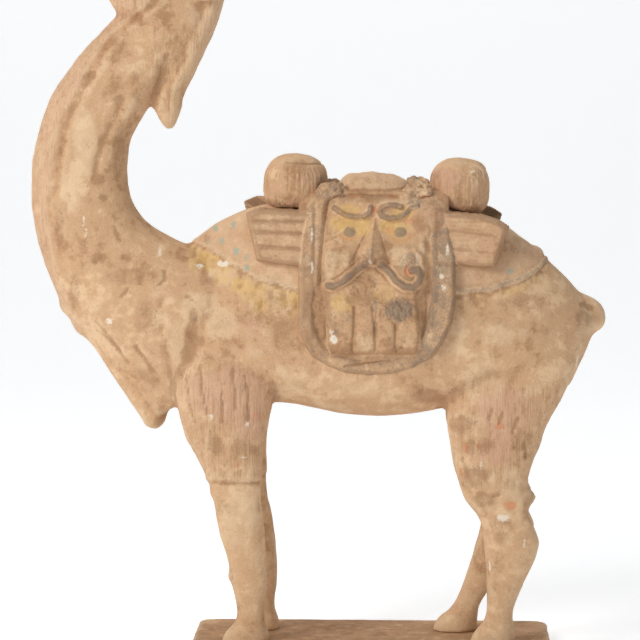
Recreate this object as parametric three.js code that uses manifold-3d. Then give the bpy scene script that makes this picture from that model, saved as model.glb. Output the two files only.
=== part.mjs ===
// A low-fired pottery figure of a pack camel on a thin slab, its neck arched and its head thrown back.
// It carries a saddle blanket, pack boards, and on each flank, between the humps, a pouch with a monster mask.
// It is all one piece of clay: the mould-made body, the luted legs and pack, and the slab under the feet.
//
// Units are millimetres. The head is at -X, the tail at +X, up is +Z, and the near flank faces -Y.
// The origin is the middle of the slab's underside.
import * as THREE from "three";
import { mergeVertices } from "three/addons/utils/BufferGeometryUtils.js";
import Module from "manifold-3d";

const wasm = await Module();
wasm.setup();

// The slab under the feet.
const SLAB = { length: 270, width: 128, thickness: 12, corner: 10 };

// Trunk, from the breast to the rump: x, height of the back, height of the belly, half width.
const TRUNK = [
  [-160, 252, 205.5, 8],
  [-152, 281, 193.5, 17],
  [-142, 301, 187.5, 25],
  [-128, 314.5, 184.5, 32],
  [-110, 326, 184.5, 37],
  [-88, 334.5, 187, 41],
  [-61.5, 339, 189, 43],
  [-24, 342, 182, 44],
  [6, 343, 179, 45],
  [40, 341, 182, 45],
  [70, 335, 187.5, 43.5],
  [100, 319.5, 190.5, 41],
  [126, 299, 195, 37],
  [147, 280, 202.5, 29],
  [158, 269, 225, 19.5],
  [167, 261, 245, 8],
];
const TRUNK_FULLNESS = 2.3; // 2 is an ellipse, more is squarer
const TRUNK_TAPER = 0.2; // how much narrower the back is than the belly

// Neck, from the breast to the throat: throat edge x and z, nape edge x and z, half width.
const NECK = [
  [-166.5, 174, -70, 235, 24],
  [-186, 199.5, -72, 268, 32],
  [-207, 226.5, -85, 290, 35],
  [-225, 248, -108, 300, 34],
  [-238.5, 275, -136, 308.5, 31],
  [-247.5, 299, -162, 321.5, 27],
  [-253, 324, -175.5, 335, 24],
  [-255, 343.5, -181.5, 348, 22],
  [-255, 363, -183, 361.5, 21],
  [-252, 381, -182.5, 372, 20],
  [-247.5, 397.5, -181, 382.5, 20],
  [-240, 418.5, -176, 394, 20],
  [-231, 433, -170, 404, 20],
  [-220, 448.5, -163.5, 414, 20],
  [-206, 463.5, -154, 427, 20],
  [-190.5, 477, -142, 441, 20],
  [-174, 487.5, -130, 457.5, 19.5],
  [-158, 495, -126, 474, 16],
];
const NECK_FULLNESS = 2.2;
const THROAT_MANE = { halfAngle: 0.5, pinch: 0.3 }; // the strip of hair down the front edge

// Head: its axis runs from the back of the skull to the muzzle.
const HEAD_BACK = new THREE.Vector2(-132, 469.5);
const HEAD_RISE = THREE.MathUtils.degToRad(40); // the muzzle points this far above level
// Distance along the axis, brow side, jaw side, half width.
const HEAD = [
  [-4.5, 7.5, 16.5, 10.5],
  [6, 18, 25.5, 17],
  [21, 23, 31.5, 20],
  [37.5, 25, 32, 21],
  [54, 20, 28.5, 18],
  [71, 16, 23, 15.5],
  [88.5, 14, 20, 14.5],
  [103.5, 14.5, 20, 15.5],
  [115, 13, 18.5, 15],
  [122.5, 8, 13, 10.5],
];
const HEAD_FULLNESS = 2.3;
const MOUTH = { inner: 76, drop: 4.5, gape: 7, reach: 130 }; // distances along and below the head's axis

// Legs, from inside the trunk to the foot: z, front edge x, back edge x, middle y, half width.
const FORELEG = [
  [243, -129, -69, 18, 13.5],
  [220.5, -140, -68, 20, 18],
  [198, -146, -72, 22, 19],
  [166.5, -139, -79, 22.5, 16.5],
  [148.5, -131, -80.5, 23, 15],
  [130.5, -123, -82, 24, 13.5],
  [116, -118, -82, 24, 12],
  [104, -116, -80, 24, 12],
  [89, -112.5, -79, 24.5, 11],
  [76.5, -108.5, -78.5, 25, 10.5],
  [63, -106, -78, 25, 10],
  [48, -103, -78, 25, 9.5],
  [36, -100.5, -79.5, 25, 10],
  [27, -102, -79.5, 25, 11],
  [18, -109.5, -76.5, 25, 14],
  [11, -113, -76, 25, 15],
];
const HIND_LEG = [
  [273, 79.5, 141, 16.5, 10.5],
  [243, 69, 152, 19.5, 16],
  [213, 61, 149, 21, 19],
  [190.5, 56, 139.5, 22, 19],
  [175.5, 55.5, 131, 22.5, 18],
  [160.5, 58, 126, 23, 16.5],
  [145.5, 60.5, 120, 24, 15],
  [130.5, 65, 115, 24, 13.5],
  [121, 68, 120, 24, 13.5],
  [113, 72, 117.5, 24, 13],
  [107, 77, 116, 24, 11.5],
  [97.5, 80, 120, 24, 11],
  [87, 82, 124.5, 24, 11],
  [76.5, 84.5, 123, 24, 11],
  [64.5, 85.5, 118, 24, 10],
  [52.5, 86, 113, 24, 10],
  [37.5, 86, 107, 24, 10],
  [28.5, 84, 106, 24, 11],
  [19, 77, 108, 24, 14],
  [11, 73, 108, 24, 15],
];
const LEG_FULLNESS = 2.4;
// The far foreleg stands a little further back, and the far hind leg steps forward below its hock.
const FAR_FORELEG_BACK = { from: 160, to: 60, by: 7 };
const FAR_HIND_LEG_STEP = { hock: 97.5, slope: 0.37, most: 28 };

// Locks of hair, each x, z, half depth, half width along its middle line.
const NAPE_LOCK = [
  [-118, 503, 5, 6],
  [-118.5, 496.5, 9, 11],
  [-124, 474, 11, 13],
  [-133.5, 451.5, 10.5, 13],
  [-144, 432, 10.5, 11],
  [-151, 417, 9.5, 10],
  [-151.5, 406.5, 8, 7.5],
  [-151, 400, 4, 4.5],
  [-150.5, 397, 1, 1.5],
];
const BREAST_LOCK = [
  [-200, 240, 14, 14],
  [-183, 217, 15, 15],
  [-172, 199.5, 14.5, 14],
  [-165.5, 187, 12, 12.5],
  [-163.5, 179, 9, 10],
  [-163.5, 173, 5.5, 6],
  [-163.5, 170, 2, 2],
];
const TAIL_STUMP = [
  [154.5, 265.5, 7, 7],
  [165, 259, 8, 7],
  [168, 250.5, 7, 6],
  [160, 242, 5, 5],
  [157.5, 233, 4, 4.5],
  [155.5, 223.5, 2, 3],
];

// The humps' tufted tops, which stand clear of the blanket: middle, half length, half height, half width.
const HUMPS = [
  { x: -57, z: 352, length: 24.5, height: 23.5, width: 25 },
  { x: 65, z: 349.5, length: 23, height: 23, width: 24 },
];
const HUMP_FULLNESS = 2.5;

// The blanket stands proud of the trunk above an edge that hangs lowest at `middle`.
const BLANKET = { from: -137, to: 128, proud: 1.8, middle: 9.75, lowest: 268.5, sweep: 1.64e-4, power: 2.5 };

// The pack hangs across the back. Half width of its flanks at each height.
const PACK_X = 2.25;
const PACK_SIDE = [
  [208, 50],
  [222, 49],
  [230, 53],
  [239, 55],
  [254, 55],
  [269, 53],
  [284, 51],
  [299, 47],
  [314, 42],
  [329, 35.5],
  [340, 30],
  [348, 25],
];
const POUCH = { halfLength: 40, bottom: 222.5, top: 345, corner: 14, inset: 0, bulge: 3 };
const BACKING = { halfLength: 55, bottom: 214.5, top: 343, corner: 50, inset: 5.5, bulge: 0 };
// The band is straight down to `bend` and narrower where it passes below the pouch.
const BAND = { halfLength: 49, bend: 259.5, bottom: 220.5, top: 340, halfWidth: 7.5, atBottom: 4.5, height: 5 };
const ROLL = { halfLength: 28, z: 349.5, height: 12.5, width: 25, scallop: 0.6 };
const KNOTS = [
  { x: -30, y: 23, z: 348, radii: [11, 8, 9] },
  { x: 34, y: 22, z: 349, radii: [11, 8, 9.5] },
];

// Pack boards that stick out fore and aft of the pouch: corners as x, z, from the top at the pouch round
// to the bottom at the pouch.
const BOARDS = [
  { corners: [[-44, 334.5], [-91.5, 331.5], [-83.5, 296], [-44, 292]], planks: 4 },
  { corners: [[49, 334.5], [99.5, 321], [88.5, 291.5], [49, 292]], planks: 3 },
];
const BOARD = { top: 334.5, topY: 33, bottom: 292, bottomY: 44, depth: 25, proud: 1.6, gap: 2 };
const FAR_BOARD_SHIFT = { x: -4, z: 7 };
const BACK_LUMP = { x: 121, y: -3, z: 302, radii: [6.5, 6, 4.5] };

// The monster mask on each pouch, in x from the pouch's middle and z. Brow and moustache curl: their rows
// on the +X half are x, z, half width. The nose's rows are z, half width, height.
const MASK = {
  eye: { x: 18.75, z: 320.5, radii: [5.5, 4.5, 5] },
  cheek: { x: 25, z: 297.5, radii: [12, 5.5, 11.5] },
  brow: [
    [32, 337.5, 1.4],
    [24, 335.5, 2.4],
    [12, 331, 2.6],
    [5, 333, 2.6],
    [6, 338.5, 2.2],
    [13, 340, 2],
    [18.5, 338, 1.4],
  ],
  moustache: [
    [7, 293.5, 2.2],
    [15, 284.5, 3.2],
    [23, 280, 3.4],
    [31.5, 281, 3.2],
    [35.5, 287.5, 2.8],
    [32.5, 293.5, 2.4],
    [27, 292.5, 1.6],
  ],
  nose: [[326.5, 1.5, 1], [315.5, 6, 4.5], [302.5, 11.5, 7.5], [298, 13, 6.5], [294, 11.5, 2]],
  beard: { locks: [-25.5, -8.5, 8.5, 25.5], halfWidth: 8, top: 280.5, bottom: 230.5, height: 3.6 },
};

// A solid from points and triangles, turned so that its faces point out.
function solid(points, faces) {
  const vertProperties = new Float32Array(points.flatMap((point) => point.toArray()));
  const made = (list) =>
    new wasm.Manifold(new wasm.Mesh({ numProp: 3, vertProperties, triVerts: new Uint32Array(list.flat()) }));
  const first = made(faces);
  return first.volume() > 0 ? first : made(faces.map(([a, b, c]) => [a, c, b]));
}

// A three.js geometry as a solid.
function solidOf(geometry) {
  geometry.deleteAttribute("normal");
  geometry.deleteAttribute("uv");
  const merged = mergeVertices(geometry);
  return new wasm.Manifold(
    new wasm.Mesh({
      numProp: 3,
      vertProperties: merged.attributes.position.array,
      triVerts: new Uint32Array(merged.index.array),
    }),
  );
}

// A closed skin through rings that all hold the same number of points, with a flat fan over each end.
function skin(rings) {
  const count = rings[0].length;
  const points = rings.flat();
  const faces = [];
  for (let ring = 0; ring + 1 < rings.length; ring++)
    for (let i = 0; i < count; i++) {
      const near = ring * count;
      const far = near + count;
      const next = (i + 1) % count;
      faces.push([near + i, near + next, far + next], [near + i, far + next, far + i]);
    }
  const last = (rings.length - 1) * count;
  for (const start of [0, last]) {
    const middle = new THREE.Vector3();
    for (let i = 0; i < count; i++) middle.addScaledVector(points[start + i], 1 / count);
    const tip = points.push(middle) - 1;
    for (let i = 0; i < count; i++) {
      const here = start + i;
      const next = start + ((i + 1) % count);
      faces.push(start === 0 ? [tip, next, here] : [tip, here, next]);
    }
  }
  return solid(points, faces);
}

// A ring of points round a squared circle: place(across, up, angle) gives each one from -1 to 1 each way.
function ringOf(sides, fullness, place) {
  const squared = (value) => Math.sign(value) * Math.abs(value) ** (2 / fullness);
  return Array.from({ length: sides }, (_, i) => {
    const angle = (2 * Math.PI * i) / sides;
    return place(squared(Math.cos(angle)), squared(Math.sin(angle)), angle);
  });
}

// The row at a value of the first column, on straight lines between the given rows.
function rowAt(rows, value) {
  const last = rows.findIndex((row) => row[0] >= value);
  if (last <= 0) return last === 0 ? rows[0] : rows.at(-1);
  const [from, to] = [rows[last - 1], rows[last]];
  const t = (value - from[0]) / (to[0] - from[0]);
  return from.map((number, i) => THREE.MathUtils.lerp(number, to[i], t));
}

function ellipsoid(x, y, z, radii, sides = 8) {
  const ball = new THREE.SphereGeometry(1, sides, Math.ceil(sides * 0.6));
  return solidOf(ball.rotateX(Math.PI / 2).scale(...radii).translate(x, y, z));
}

// The direction of a path of rows that start with x and z, at row i.
function directionAt(path, i) {
  const [before, after] = [path[Math.max(i - 1, 0)], path[Math.min(i + 1, path.length - 1)]];
  return new THREE.Vector2(after[0] - before[0], after[1] - before[1]).normalize();
}

// A tapering lock along rows of x, z, half depth, half width.
function lock(rows) {
  return skin(
    rows.map(([x, z, halfDepth, halfWidth], i) => {
      const along = directionAt(rows, i);
      return ringOf(10, 2.2, (out, across) => {
        const step = halfDepth * out;
        return new THREE.Vector3(x - along.y * step, halfWidth * across, z + along.x * step);
      });
    }),
  );
}

// The point of the trunk's skin at a row of TRUNK, `across` and `up` going from -1 to 1.
function trunkPoint([x, back, belly, halfWidth], across, up, proud = 0) {
  return new THREE.Vector3(
    x,
    (halfWidth + proud) * across * (1 - TRUNK_TAPER * up),
    (back + belly) / 2 + ((back - belly) / 2 + proud) * up,
  );
}

function trunk() {
  return skin(
    TRUNK.map((row) => ringOf(20, TRUNK_FULLNESS, (across, up) => trunkPoint(row, across, up))),
  );
}

// The blanket's arcs lie over the trunk's own rows, each from one edge up over the back to the other.
function blanket() {
  const sides = 10;
  const covered = TRUNK.filter(([x]) => x > BLANKET.from && x < BLANKET.to);
  const rows = [rowAt(TRUNK, BLANKET.from), ...covered, rowAt(TRUNK, BLANKET.to)];
  return skin(
    rows.map((row) => {
      const [x, back, belly] = row;
      const edge = BLANKET.lowest + BLANKET.sweep * Math.abs(x - BLANKET.middle) ** BLANKET.power;
      const lowestUp = Math.min((edge - (back + belly) / 2) / ((back - belly) / 2), 0.93);
      const lowestAngle = Math.asin(lowestUp ** (TRUNK_FULLNESS / 2));
      return Array.from({ length: sides + 1 }, (_, k) => {
        const angle = THREE.MathUtils.lerp(lowestAngle, Math.PI - lowestAngle, k / sides);
        const across = Math.sign(Math.cos(angle)) * Math.abs(Math.cos(angle)) ** (2 / TRUNK_FULLNESS);
        return trunkPoint(row, across, Math.sin(angle) ** (2 / TRUNK_FULLNESS), BLANKET.proud);
      });
    }),
  );
}

function neck() {
  return skin(
    NECK.map(([throatX, throatZ, napeX, napeZ, halfWidth]) => {
      const middle = new THREE.Vector3((throatX + napeX) / 2, 0, (throatZ + napeZ) / 2);
      const toThroat = new THREE.Vector3((throatX - napeX) / 2, 0, (throatZ - napeZ) / 2);
      return ringOf(18, NECK_FULLNESS, (out, across, angle) => {
        const fromThroat = Math.min(angle, 2 * Math.PI - angle);
        const pinch = 1 - THROAT_MANE.pinch * Math.exp(-((fromThroat / THROAT_MANE.halfAngle) ** 2));
        return middle.clone().addScaledVector(toThroat, out).setY(halfWidth * across * pinch);
      });
    }),
  );
}

// A point of the head, given along its axis, above the axis on the brow side, and across.
function headPoint(along, above, across) {
  const [forward, up] = [Math.cos(HEAD_RISE), Math.sin(HEAD_RISE)];
  return new THREE.Vector3(
    HEAD_BACK.x - forward * along + up * above,
    across,
    HEAD_BACK.y + up * along + forward * above,
  );
}

// An ellipsoid that lies along the head, its radii given along, across and above.
function headKnob(along, above, across, radii) {
  const ball = new THREE.SphereGeometry(1, 8, 6).scale(...radii).rotateY(HEAD_RISE);
  return solidOf(ball.translate(...headPoint(along, above, across).toArray()));
}

function head() {
  const skull = skin(
    HEAD.map(([along, brow, jaw, halfWidth]) =>
      ringOf(12, HEAD_FULLNESS, (across, up) =>
        headPoint(along, up * (up > 0 ? brow : jaw), halfWidth * across),
      ),
    ),
  );
  const mouthCut = skin(
    [-1, 1].map((side) =>
      [[MOUTH.inner, 0], [MOUTH.reach, MOUTH.gape / 2], [MOUTH.reach, -MOUTH.gape / 2]].map(([along, open]) =>
        headPoint(along, open - MOUTH.drop, side * 2 * HEAD[3][3]),
      ),
    ),
  );
  let made = skull.subtract(mouthCut);
  for (const side of [-1, 1]) {
    made = made
      .add(headKnob(43, 17.5, side * 14, [11, 6, 4.5]))
      .add(headKnob(45, 10.5, side * 17.5, [6, 3.5, 5]))
      .add(ear(side));
  }
  return made.add(headKnob(17, 22, 0, [16, 11, 9]));
}

// An ear, laid back and out a little.
function ear(side) {
  const rows = [[0, 5, 4], [6, 6.5, 4], [12, 5, 3.2], [17, 1.2, 1.2]];
  return skin(
    rows.map(([reach, halfLength, halfWidth]) => {
      const [along, above, aside] = [15 - reach * 0.75, 17 + reach * 0.75, side * (14 + reach * 0.35)];
      return ringOf(8, 2, (across, out) => headPoint(along + halfLength * out, above, aside + halfWidth * across));
    }),
  );
}

function leg(rows, side, shift = () => 0) {
  return skin(
    rows.map(([z, frontX, backX, middleY, halfWidth]) =>
      ringOf(10, LEG_FULLNESS, (out, across) => {
        const x = (frontX + backX) / 2 + ((backX - frontX) / 2) * out + shift(z);
        return new THREE.Vector3(x, side * middleY + halfWidth * across, z);
      }),
    ),
  );
}

function legs() {
  const foreBack = (z) =>
    FAR_FORELEG_BACK.by * (1 - THREE.MathUtils.smoothstep(z, FAR_FORELEG_BACK.to, FAR_FORELEG_BACK.from));
  const hindForward = (z) =>
    -THREE.MathUtils.clamp(FAR_HIND_LEG_STEP.slope * (FAR_HIND_LEG_STEP.hock - z), 0, FAR_HIND_LEG_STEP.most);
  return [leg(FORELEG, -1), leg(FORELEG, 1, foreBack), leg(HIND_LEG, -1), leg(HIND_LEG, 1, hindForward)];
}

function slab() {
  const [x, y, corner] = [SLAB.length / 2, SLAB.width / 2, SLAB.corner];
  const outline = new THREE.Shape();
  outline.absarc(x - corner, y - corner, corner, 0, Math.PI / 2);
  outline.absarc(corner - x, y - corner, corner, Math.PI / 2, Math.PI);
  outline.absarc(corner - x, corner - y, corner, Math.PI, 1.5 * Math.PI);
  outline.absarc(x - corner, corner - y, corner, 1.5 * Math.PI, 2 * Math.PI);
  const cast = { depth: SLAB.thickness, bevelEnabled: false, curveSegments: 2 };
  return solidOf(new THREE.ExtrudeGeometry(outline, cast));
}

// A hump is a squared dome: its girth narrows towards both poles.
function hump({ x, z, length, height, width }) {
  const levels = 8;
  const rings = [];
  for (let i = 1; i < levels; i++) {
    const tilt = (i / levels - 0.5) * Math.PI;
    const girth = Math.cos(tilt) ** (2 / HUMP_FULLNESS);
    const rise = Math.sign(tilt) * Math.abs(Math.sin(tilt)) ** (2 / HUMP_FULLNESS);
    rings.push(
      ringOf(14, 2.2, (out, across) =>
        new THREE.Vector3(x + length * girth * out, width * girth * across, z + height * rise),
      ),
    );
  }
  return skin(rings);
}

// Half width of the pack's flank at height z.
const packSide = (z) => rowAt(PACK_SIDE, z)[1];

// A bag across the back, with rounded lower corners: sections across the trunk, side by side along x.
function bag({ halfLength, bottom, top, corner, inset, bulge }) {
  const levels = 6;
  const spots = 6;
  const rings = [];
  for (let i = 0; i <= spots; i++) {
    const u = Math.sin(((i / spots) * 2 - 1) * (Math.PI / 2));
    const intoCorner = Math.max(0, (Math.abs(u) * halfLength - (halfLength - corner)) / corner);
    const low = bottom + corner * (1 - Math.sqrt(1 - Math.min(intoCorner, 0.985) ** 2));
    const flank = Array.from({ length: levels + 1 }, (_, k) => {
      const z = THREE.MathUtils.lerp(low, top, k / levels);
      return [packSide(z) - inset + bulge * (1 - u * u), z];
    });
    const x = PACK_X + halfLength * u;
    rings.push([
      ...flank.map(([y, z]) => new THREE.Vector3(x, -y, z)),
      ...flank.reverse().map(([y, z]) => new THREE.Vector3(x, y, z)),
    ]);
  }
  return skin(rings);
}

function roll() {
  const stations = 8;
  const rings = [];
  for (let i = 0; i <= stations; i++) {
    const u = ((i + 0.4) / (stations + 0.8)) * 2 - 1;
    const girth = (1 - Math.abs(u) ** 4) ** 0.5;
    const height = ROLL.height * girth + ROLL.scallop * (-1) ** i;
    rings.push(
      ringOf(10, 2.2, (across, up) =>
        new THREE.Vector3(PACK_X + ROLL.halfLength * u, ROLL.width * girth * across, ROLL.z + height * up),
      ),
    );
  }
  return skin(rings);
}

// A point on one flank of the pouch, x counted from its middle, raised by `proud`.
function facePoint(side, x, z, proud, inset = POUCH.inset) {
  const bulge = POUCH.bulge * Math.max(0, 1 - (x / POUCH.halfLength) ** 2);
  return new THREE.Vector3(PACK_X + x, side * (packSide(z) - inset + bulge + proud), z);
}

// A rib on a flank along rows of x, z, half width.
function rib(side, rows, height, { inset = 0, sides = 4 } = {}) {
  return skin(
    rows.map(([x, z, halfWidth], i) => {
      const along = directionAt(rows, i).multiplyScalar(halfWidth);
      return ringOf(sides, 2, (out, up) =>
        facePoint(side, x - along.y * out, z + along.x * out, height * up, inset),
      );
    }),
  );
}

// The band comes down fore and aft of the pouch and round below it.
function band(side) {
  const { halfLength, bend, bottom, top, halfWidth, atBottom, height } = BAND;
  const straight = [top, (top + bend) / 2];
  const turns = 9;
  const bent = Array.from({ length: turns + 1 }, (_, i) => {
    const angle = (i / turns) * Math.PI;
    const low = Math.sin(angle);
    const width = THREE.MathUtils.lerp(halfWidth, atBottom, low);
    return [-halfLength * Math.cos(angle), bend - (bend - bottom) * low, width];
  });
  const rows = [
    ...straight.map((z) => [-halfLength, z, halfWidth]),
    ...bent,
    ...straight.reverse().map((z) => [halfLength, z, halfWidth]),
  ];
  return rib(side, rows, height, { inset: BACKING.inset, sides: 6 });
}

function mask(side) {
  const mirrored = (rows, half) => rows.map(([x, ...rest]) => [half * x, ...rest]);
  const nose = skin(
    MASK.nose.map(([z, halfWidth, proud]) => {
      const profile = [[-1, -3], [-0.45, proud], [0.45, proud], [1, -3]];
      return profile.map(([x, out]) => facePoint(side, x * halfWidth, z, out));
    }),
  );
  const parts = [nose];
  for (const half of [-1, 1]) {
    const { eye, cheek } = MASK;
    const eyePoint = facePoint(side, half * eye.x, eye.z, -1.2);
    const cheekPoint = facePoint(side, half * cheek.x, cheek.z, -2);
    parts.push(
      ellipsoid(...eyePoint.toArray(), eye.radii),
      ellipsoid(...cheekPoint.toArray(), cheek.radii),
      rib(side, mirrored(MASK.brow, half), 3),
      rib(side, mirrored(MASK.moustache, half), 5),
    );
  }
  const { locks, halfWidth, top, bottom, height } = MASK.beard;
  for (const x of locks) {
    const rows = [0, 0.5, 1].map((t) => [x, THREE.MathUtils.lerp(top, bottom, t), halfWidth]);
    parts.push(rib(side, rows, height, { sides: 6 }));
  }
  return parts;
}

// A slanting plate on one flank, from its outer face towards the middle. The far ones sit higher and more forward.
function plate(corners, side, proud, depth) {
  const shift = side > 0 ? FAR_BOARD_SHIFT : { x: 0, z: 0 };
  const faceY = (z) => THREE.MathUtils.mapLinear(z, BOARD.bottom, BOARD.top, BOARD.bottomY, BOARD.topY);
  const corner = ({ x, y: z }, out) => new THREE.Vector3(x + shift.x, side * (faceY(z) + out), z + shift.z);
  return skin([proud - depth, proud].map((out) => corners.map((point) => corner(point, out))));
}

// A board and the planks that stand proud of it, with gaps between them.
function board({ corners, planks }, side) {
  const points = corners.map((corner) => new THREE.Vector2(...corner));
  const [innerTop, outerTop, outerBottom, innerBottom] = points;
  const parts = [plate(points, side, 0, BOARD.depth)];
  const halfGap = BOARD.gap / 2 / (BOARD.top - BOARD.bottom);
  for (let i = 0; i < planks; i++) {
    const from = i === 0 ? 0 : i / planks + halfGap;
    const to = i === planks - 1 ? 1 : (i + 1) / planks - halfGap;
    const plank = [
      innerTop.clone().lerp(innerBottom, from),
      outerTop.clone().lerp(outerBottom, from),
      outerTop.clone().lerp(outerBottom, to),
      innerTop.clone().lerp(innerBottom, to),
    ];
    parts.push(plate(plank, side, BOARD.proud, 2 * BOARD.proud));
  }
  return parts;
}

function figure() {
  const parts = [slab(), trunk(), blanket(), neck(), head(), ...legs()];
  parts.push(...[NAPE_LOCK, BREAST_LOCK, TAIL_STUMP].map(lock), ...HUMPS.map(hump));
  parts.push(ellipsoid(BACK_LUMP.x, BACK_LUMP.y, BACK_LUMP.z, BACK_LUMP.radii, 6));
  parts.push(roll(), bag(BACKING), bag(POUCH));
  for (const side of [-1, 1]) {
    parts.push(band(side), ...mask(side), ...BOARDS.flatMap((one) => board(one, side)));
    parts.push(...KNOTS.map(({ x, y, z, radii }) => ellipsoid(x, side * y, z, radii)));
  }
  return parts.reduce((whole, part) => whole.add(part));
}

function meshOf(made, name, material) {
  const { vertProperties, triVerts } = made.getMesh();
  const geometry = new THREE.BufferGeometry();
  geometry.setAttribute("position", new THREE.BufferAttribute(vertProperties, 3));
  geometry.setIndex(new THREE.BufferAttribute(triVerts, 1));
  geometry.computeVertexNormals();
  const mesh = new THREE.Mesh(geometry, material);
  mesh.name = name;
  return mesh;
}

const clay = new THREE.MeshStandardMaterial({ color: 0xc49a6f, roughness: 0.92, metalness: 0 });

const camel = new THREE.Group();
camel.add(meshOf(figure(), "camel_figure", clay));

export default camel;
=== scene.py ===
"""A pottery camel with a mask pouch: its skin, its pack and its low slab, with clay, paint, earth and painted
shade on them.

Shapes are worked out as whole arrays in millimetres and put into meshes in metres. Side view places
are given as (x, z) as they are seen a little from above: a place on a flank sits `lean` further on.
"""
import math

import bpy
import numpy as np
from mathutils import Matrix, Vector


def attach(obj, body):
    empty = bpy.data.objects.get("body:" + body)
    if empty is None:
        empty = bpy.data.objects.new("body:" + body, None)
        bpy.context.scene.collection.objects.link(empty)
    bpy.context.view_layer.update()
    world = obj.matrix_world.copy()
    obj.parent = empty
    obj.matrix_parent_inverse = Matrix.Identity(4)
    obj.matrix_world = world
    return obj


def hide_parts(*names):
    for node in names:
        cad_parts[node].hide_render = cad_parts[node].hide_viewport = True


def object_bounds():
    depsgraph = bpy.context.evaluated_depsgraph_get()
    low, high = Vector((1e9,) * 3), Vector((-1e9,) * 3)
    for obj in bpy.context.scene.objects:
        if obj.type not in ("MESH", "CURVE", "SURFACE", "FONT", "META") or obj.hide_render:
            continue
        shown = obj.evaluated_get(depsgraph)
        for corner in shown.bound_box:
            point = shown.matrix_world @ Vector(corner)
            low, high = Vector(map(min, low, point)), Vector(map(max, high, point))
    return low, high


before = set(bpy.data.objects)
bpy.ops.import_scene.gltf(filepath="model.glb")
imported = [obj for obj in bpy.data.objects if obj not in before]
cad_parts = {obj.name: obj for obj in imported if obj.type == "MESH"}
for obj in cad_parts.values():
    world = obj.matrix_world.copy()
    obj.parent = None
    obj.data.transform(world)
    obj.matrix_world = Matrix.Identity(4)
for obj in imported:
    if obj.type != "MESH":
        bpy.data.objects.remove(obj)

cad_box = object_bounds()

MM = 0.001
NEAR, FAR = -1, 1
NODE = "camel_figure"

# Stations of the figure, within a millimetre or two of its solid's
SLAB = {"length": 270, "width": 128, "thickness": 12, "corner": 10}

# x, back z, belly z, half width
TRUNK = [
    [-160, 252, 205.5, 8],
    [-152, 281, 193.5, 17],
    [-142, 301, 187.5, 25],
    [-128, 314.5, 184.5, 32],
    [-110, 326, 184.5, 37],
    [-88, 334.5, 187, 41],
    [-61.5, 339, 188, 43],
    [-24, 342, 180.5, 44],
    [6, 343, 178.5, 45],
    [40, 341, 182, 45],
    [70, 335, 187.5, 43.5],
    [100, 320.5, 190.5, 41],
    [126, 300.5, 195, 37],
    [147, 281.5, 202.5, 29],
    [158, 269, 225, 19.5],
    [167, 261, 245, 8],
]
TRUNK_FULLNESS = 2.3
TRUNK_TAPER = 0.2

# throat x, throat z, nape x, nape z, half width
NECK = [
    [-166.5, 174, -70, 235, 24],
    [-186, 199.5, -72, 268, 32],
    [-207, 226.5, -85, 290, 35],
    [-225, 248, -108, 300, 34],
    [-238.5, 275, -136, 306.5, 31],
    [-247.5, 299, -163, 319.5, 27],
    [-253, 324, -176.5, 334, 24],
    [-255, 343.5, -181.5, 348, 22],
    [-255, 363, -183, 361.5, 21],
    [-252, 381, -182.5, 372, 20],
    [-247.5, 397.5, -181, 382.5, 20],
    [-239.5, 418, -176, 394, 20],
    [-229.5, 432.5, -170, 404, 20],
    [-218.5, 447.5, -163.5, 414, 20],
    [-204.5, 462.5, -154, 427, 20],
    [-190.5, 477, -142, 441, 20],
    [-174, 487.5, -130, 457.5, 19.5],
    [-158, 495, -126, 474, 16],
]
NECK_FULLNESS = 2.2
THROAT_MANE = {"half_angle": 0.5, "pinch": 0.3}

HEAD_BACK = (-132, 469.5)
HEAD_RISE = math.radians(40)
# along, brow height, jaw depth, half width
HEAD = [
    [-4.5, 7.5, 16.5, 10.5],
    [6, 18, 25.5, 17],
    [21, 23, 31.5, 20],
    [37.5, 25, 32, 21],
    [54, 20, 28.5, 18],
    [71, 16, 23, 15.5],
    [88.5, 14, 20, 14.5],
    [103.5, 14.5, 20, 15.5],
    [115, 13, 18.5, 15],
    [122.5, 8, 13, 10.5],
]
HEAD_FULLNESS = 2.3
MOUTH = {"inner": 76, "drop": 4.5, "gape": 7, "reach": 130, "lip": 2.2}
EAR = [[0, 5, 4], [6, 6.5, 4], [12, 5, 3.2], [17, 1.2, 1.2]]

# z, front x, back x, middle y, half width
FORELEG = [
    [243, -129, -69, 18, 13.5],
    [220.5, -140, -68, 20, 18],
    [198, -146, -72, 22, 19],
    [166.5, -139, -79, 22.5, 16.5],
    [148.5, -129.5, -80.5, 23, 15],
    [130.5, -121.5, -82, 24, 13.5],
    [116, -118, -82, 24, 12],
    [104, -116, -80, 24, 12],
    [89, -112.5, -79, 24.5, 11],
    [76.5, -108.5, -78.5, 25, 10.5],
    [63, -106, -78, 25, 10],
    [48, -103, -78, 25, 9.5],
    [36, -100.5, -79.5, 25, 10],
    [27, -102, -79.5, 25, 11],
    [18, -109.5, -76.5, 25, 14],
    [11, -113, -76, 25, 15],
]
HIND_LEG = [
    [273, 79.5, 141, 16.5, 10.5],
    [243, 69, 152, 19.5, 16],
    [213, 61, 149, 21, 19],
    [190.5, 56, 139.5, 22, 19],
    [175.5, 55.5, 131, 22.5, 18],
    [160.5, 58, 126, 23, 16.5],
    [145.5, 60.5, 120, 24, 15],
    [130.5, 65, 116, 24, 13.5],
    [121, 68.5, 121, 24, 13.5],
    [113, 73.5, 118, 24, 13],
    [107, 78.5, 117.5, 24, 11.5],
    [97.5, 82, 122, 24, 11],
    [87, 83.5, 125, 24, 11],
    [76.5, 84.5, 123, 24, 11],
    [64.5, 85.5, 118, 24, 10],
    [52.5, 86, 113, 24, 10],
    [37.5, 86, 107, 24, 10],
    [28.5, 84, 106, 24, 11],
    [19, 77, 108, 24, 14],
    [11, 73, 108, 24, 15],
]
LEG_FULLNESS = 2.4

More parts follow.
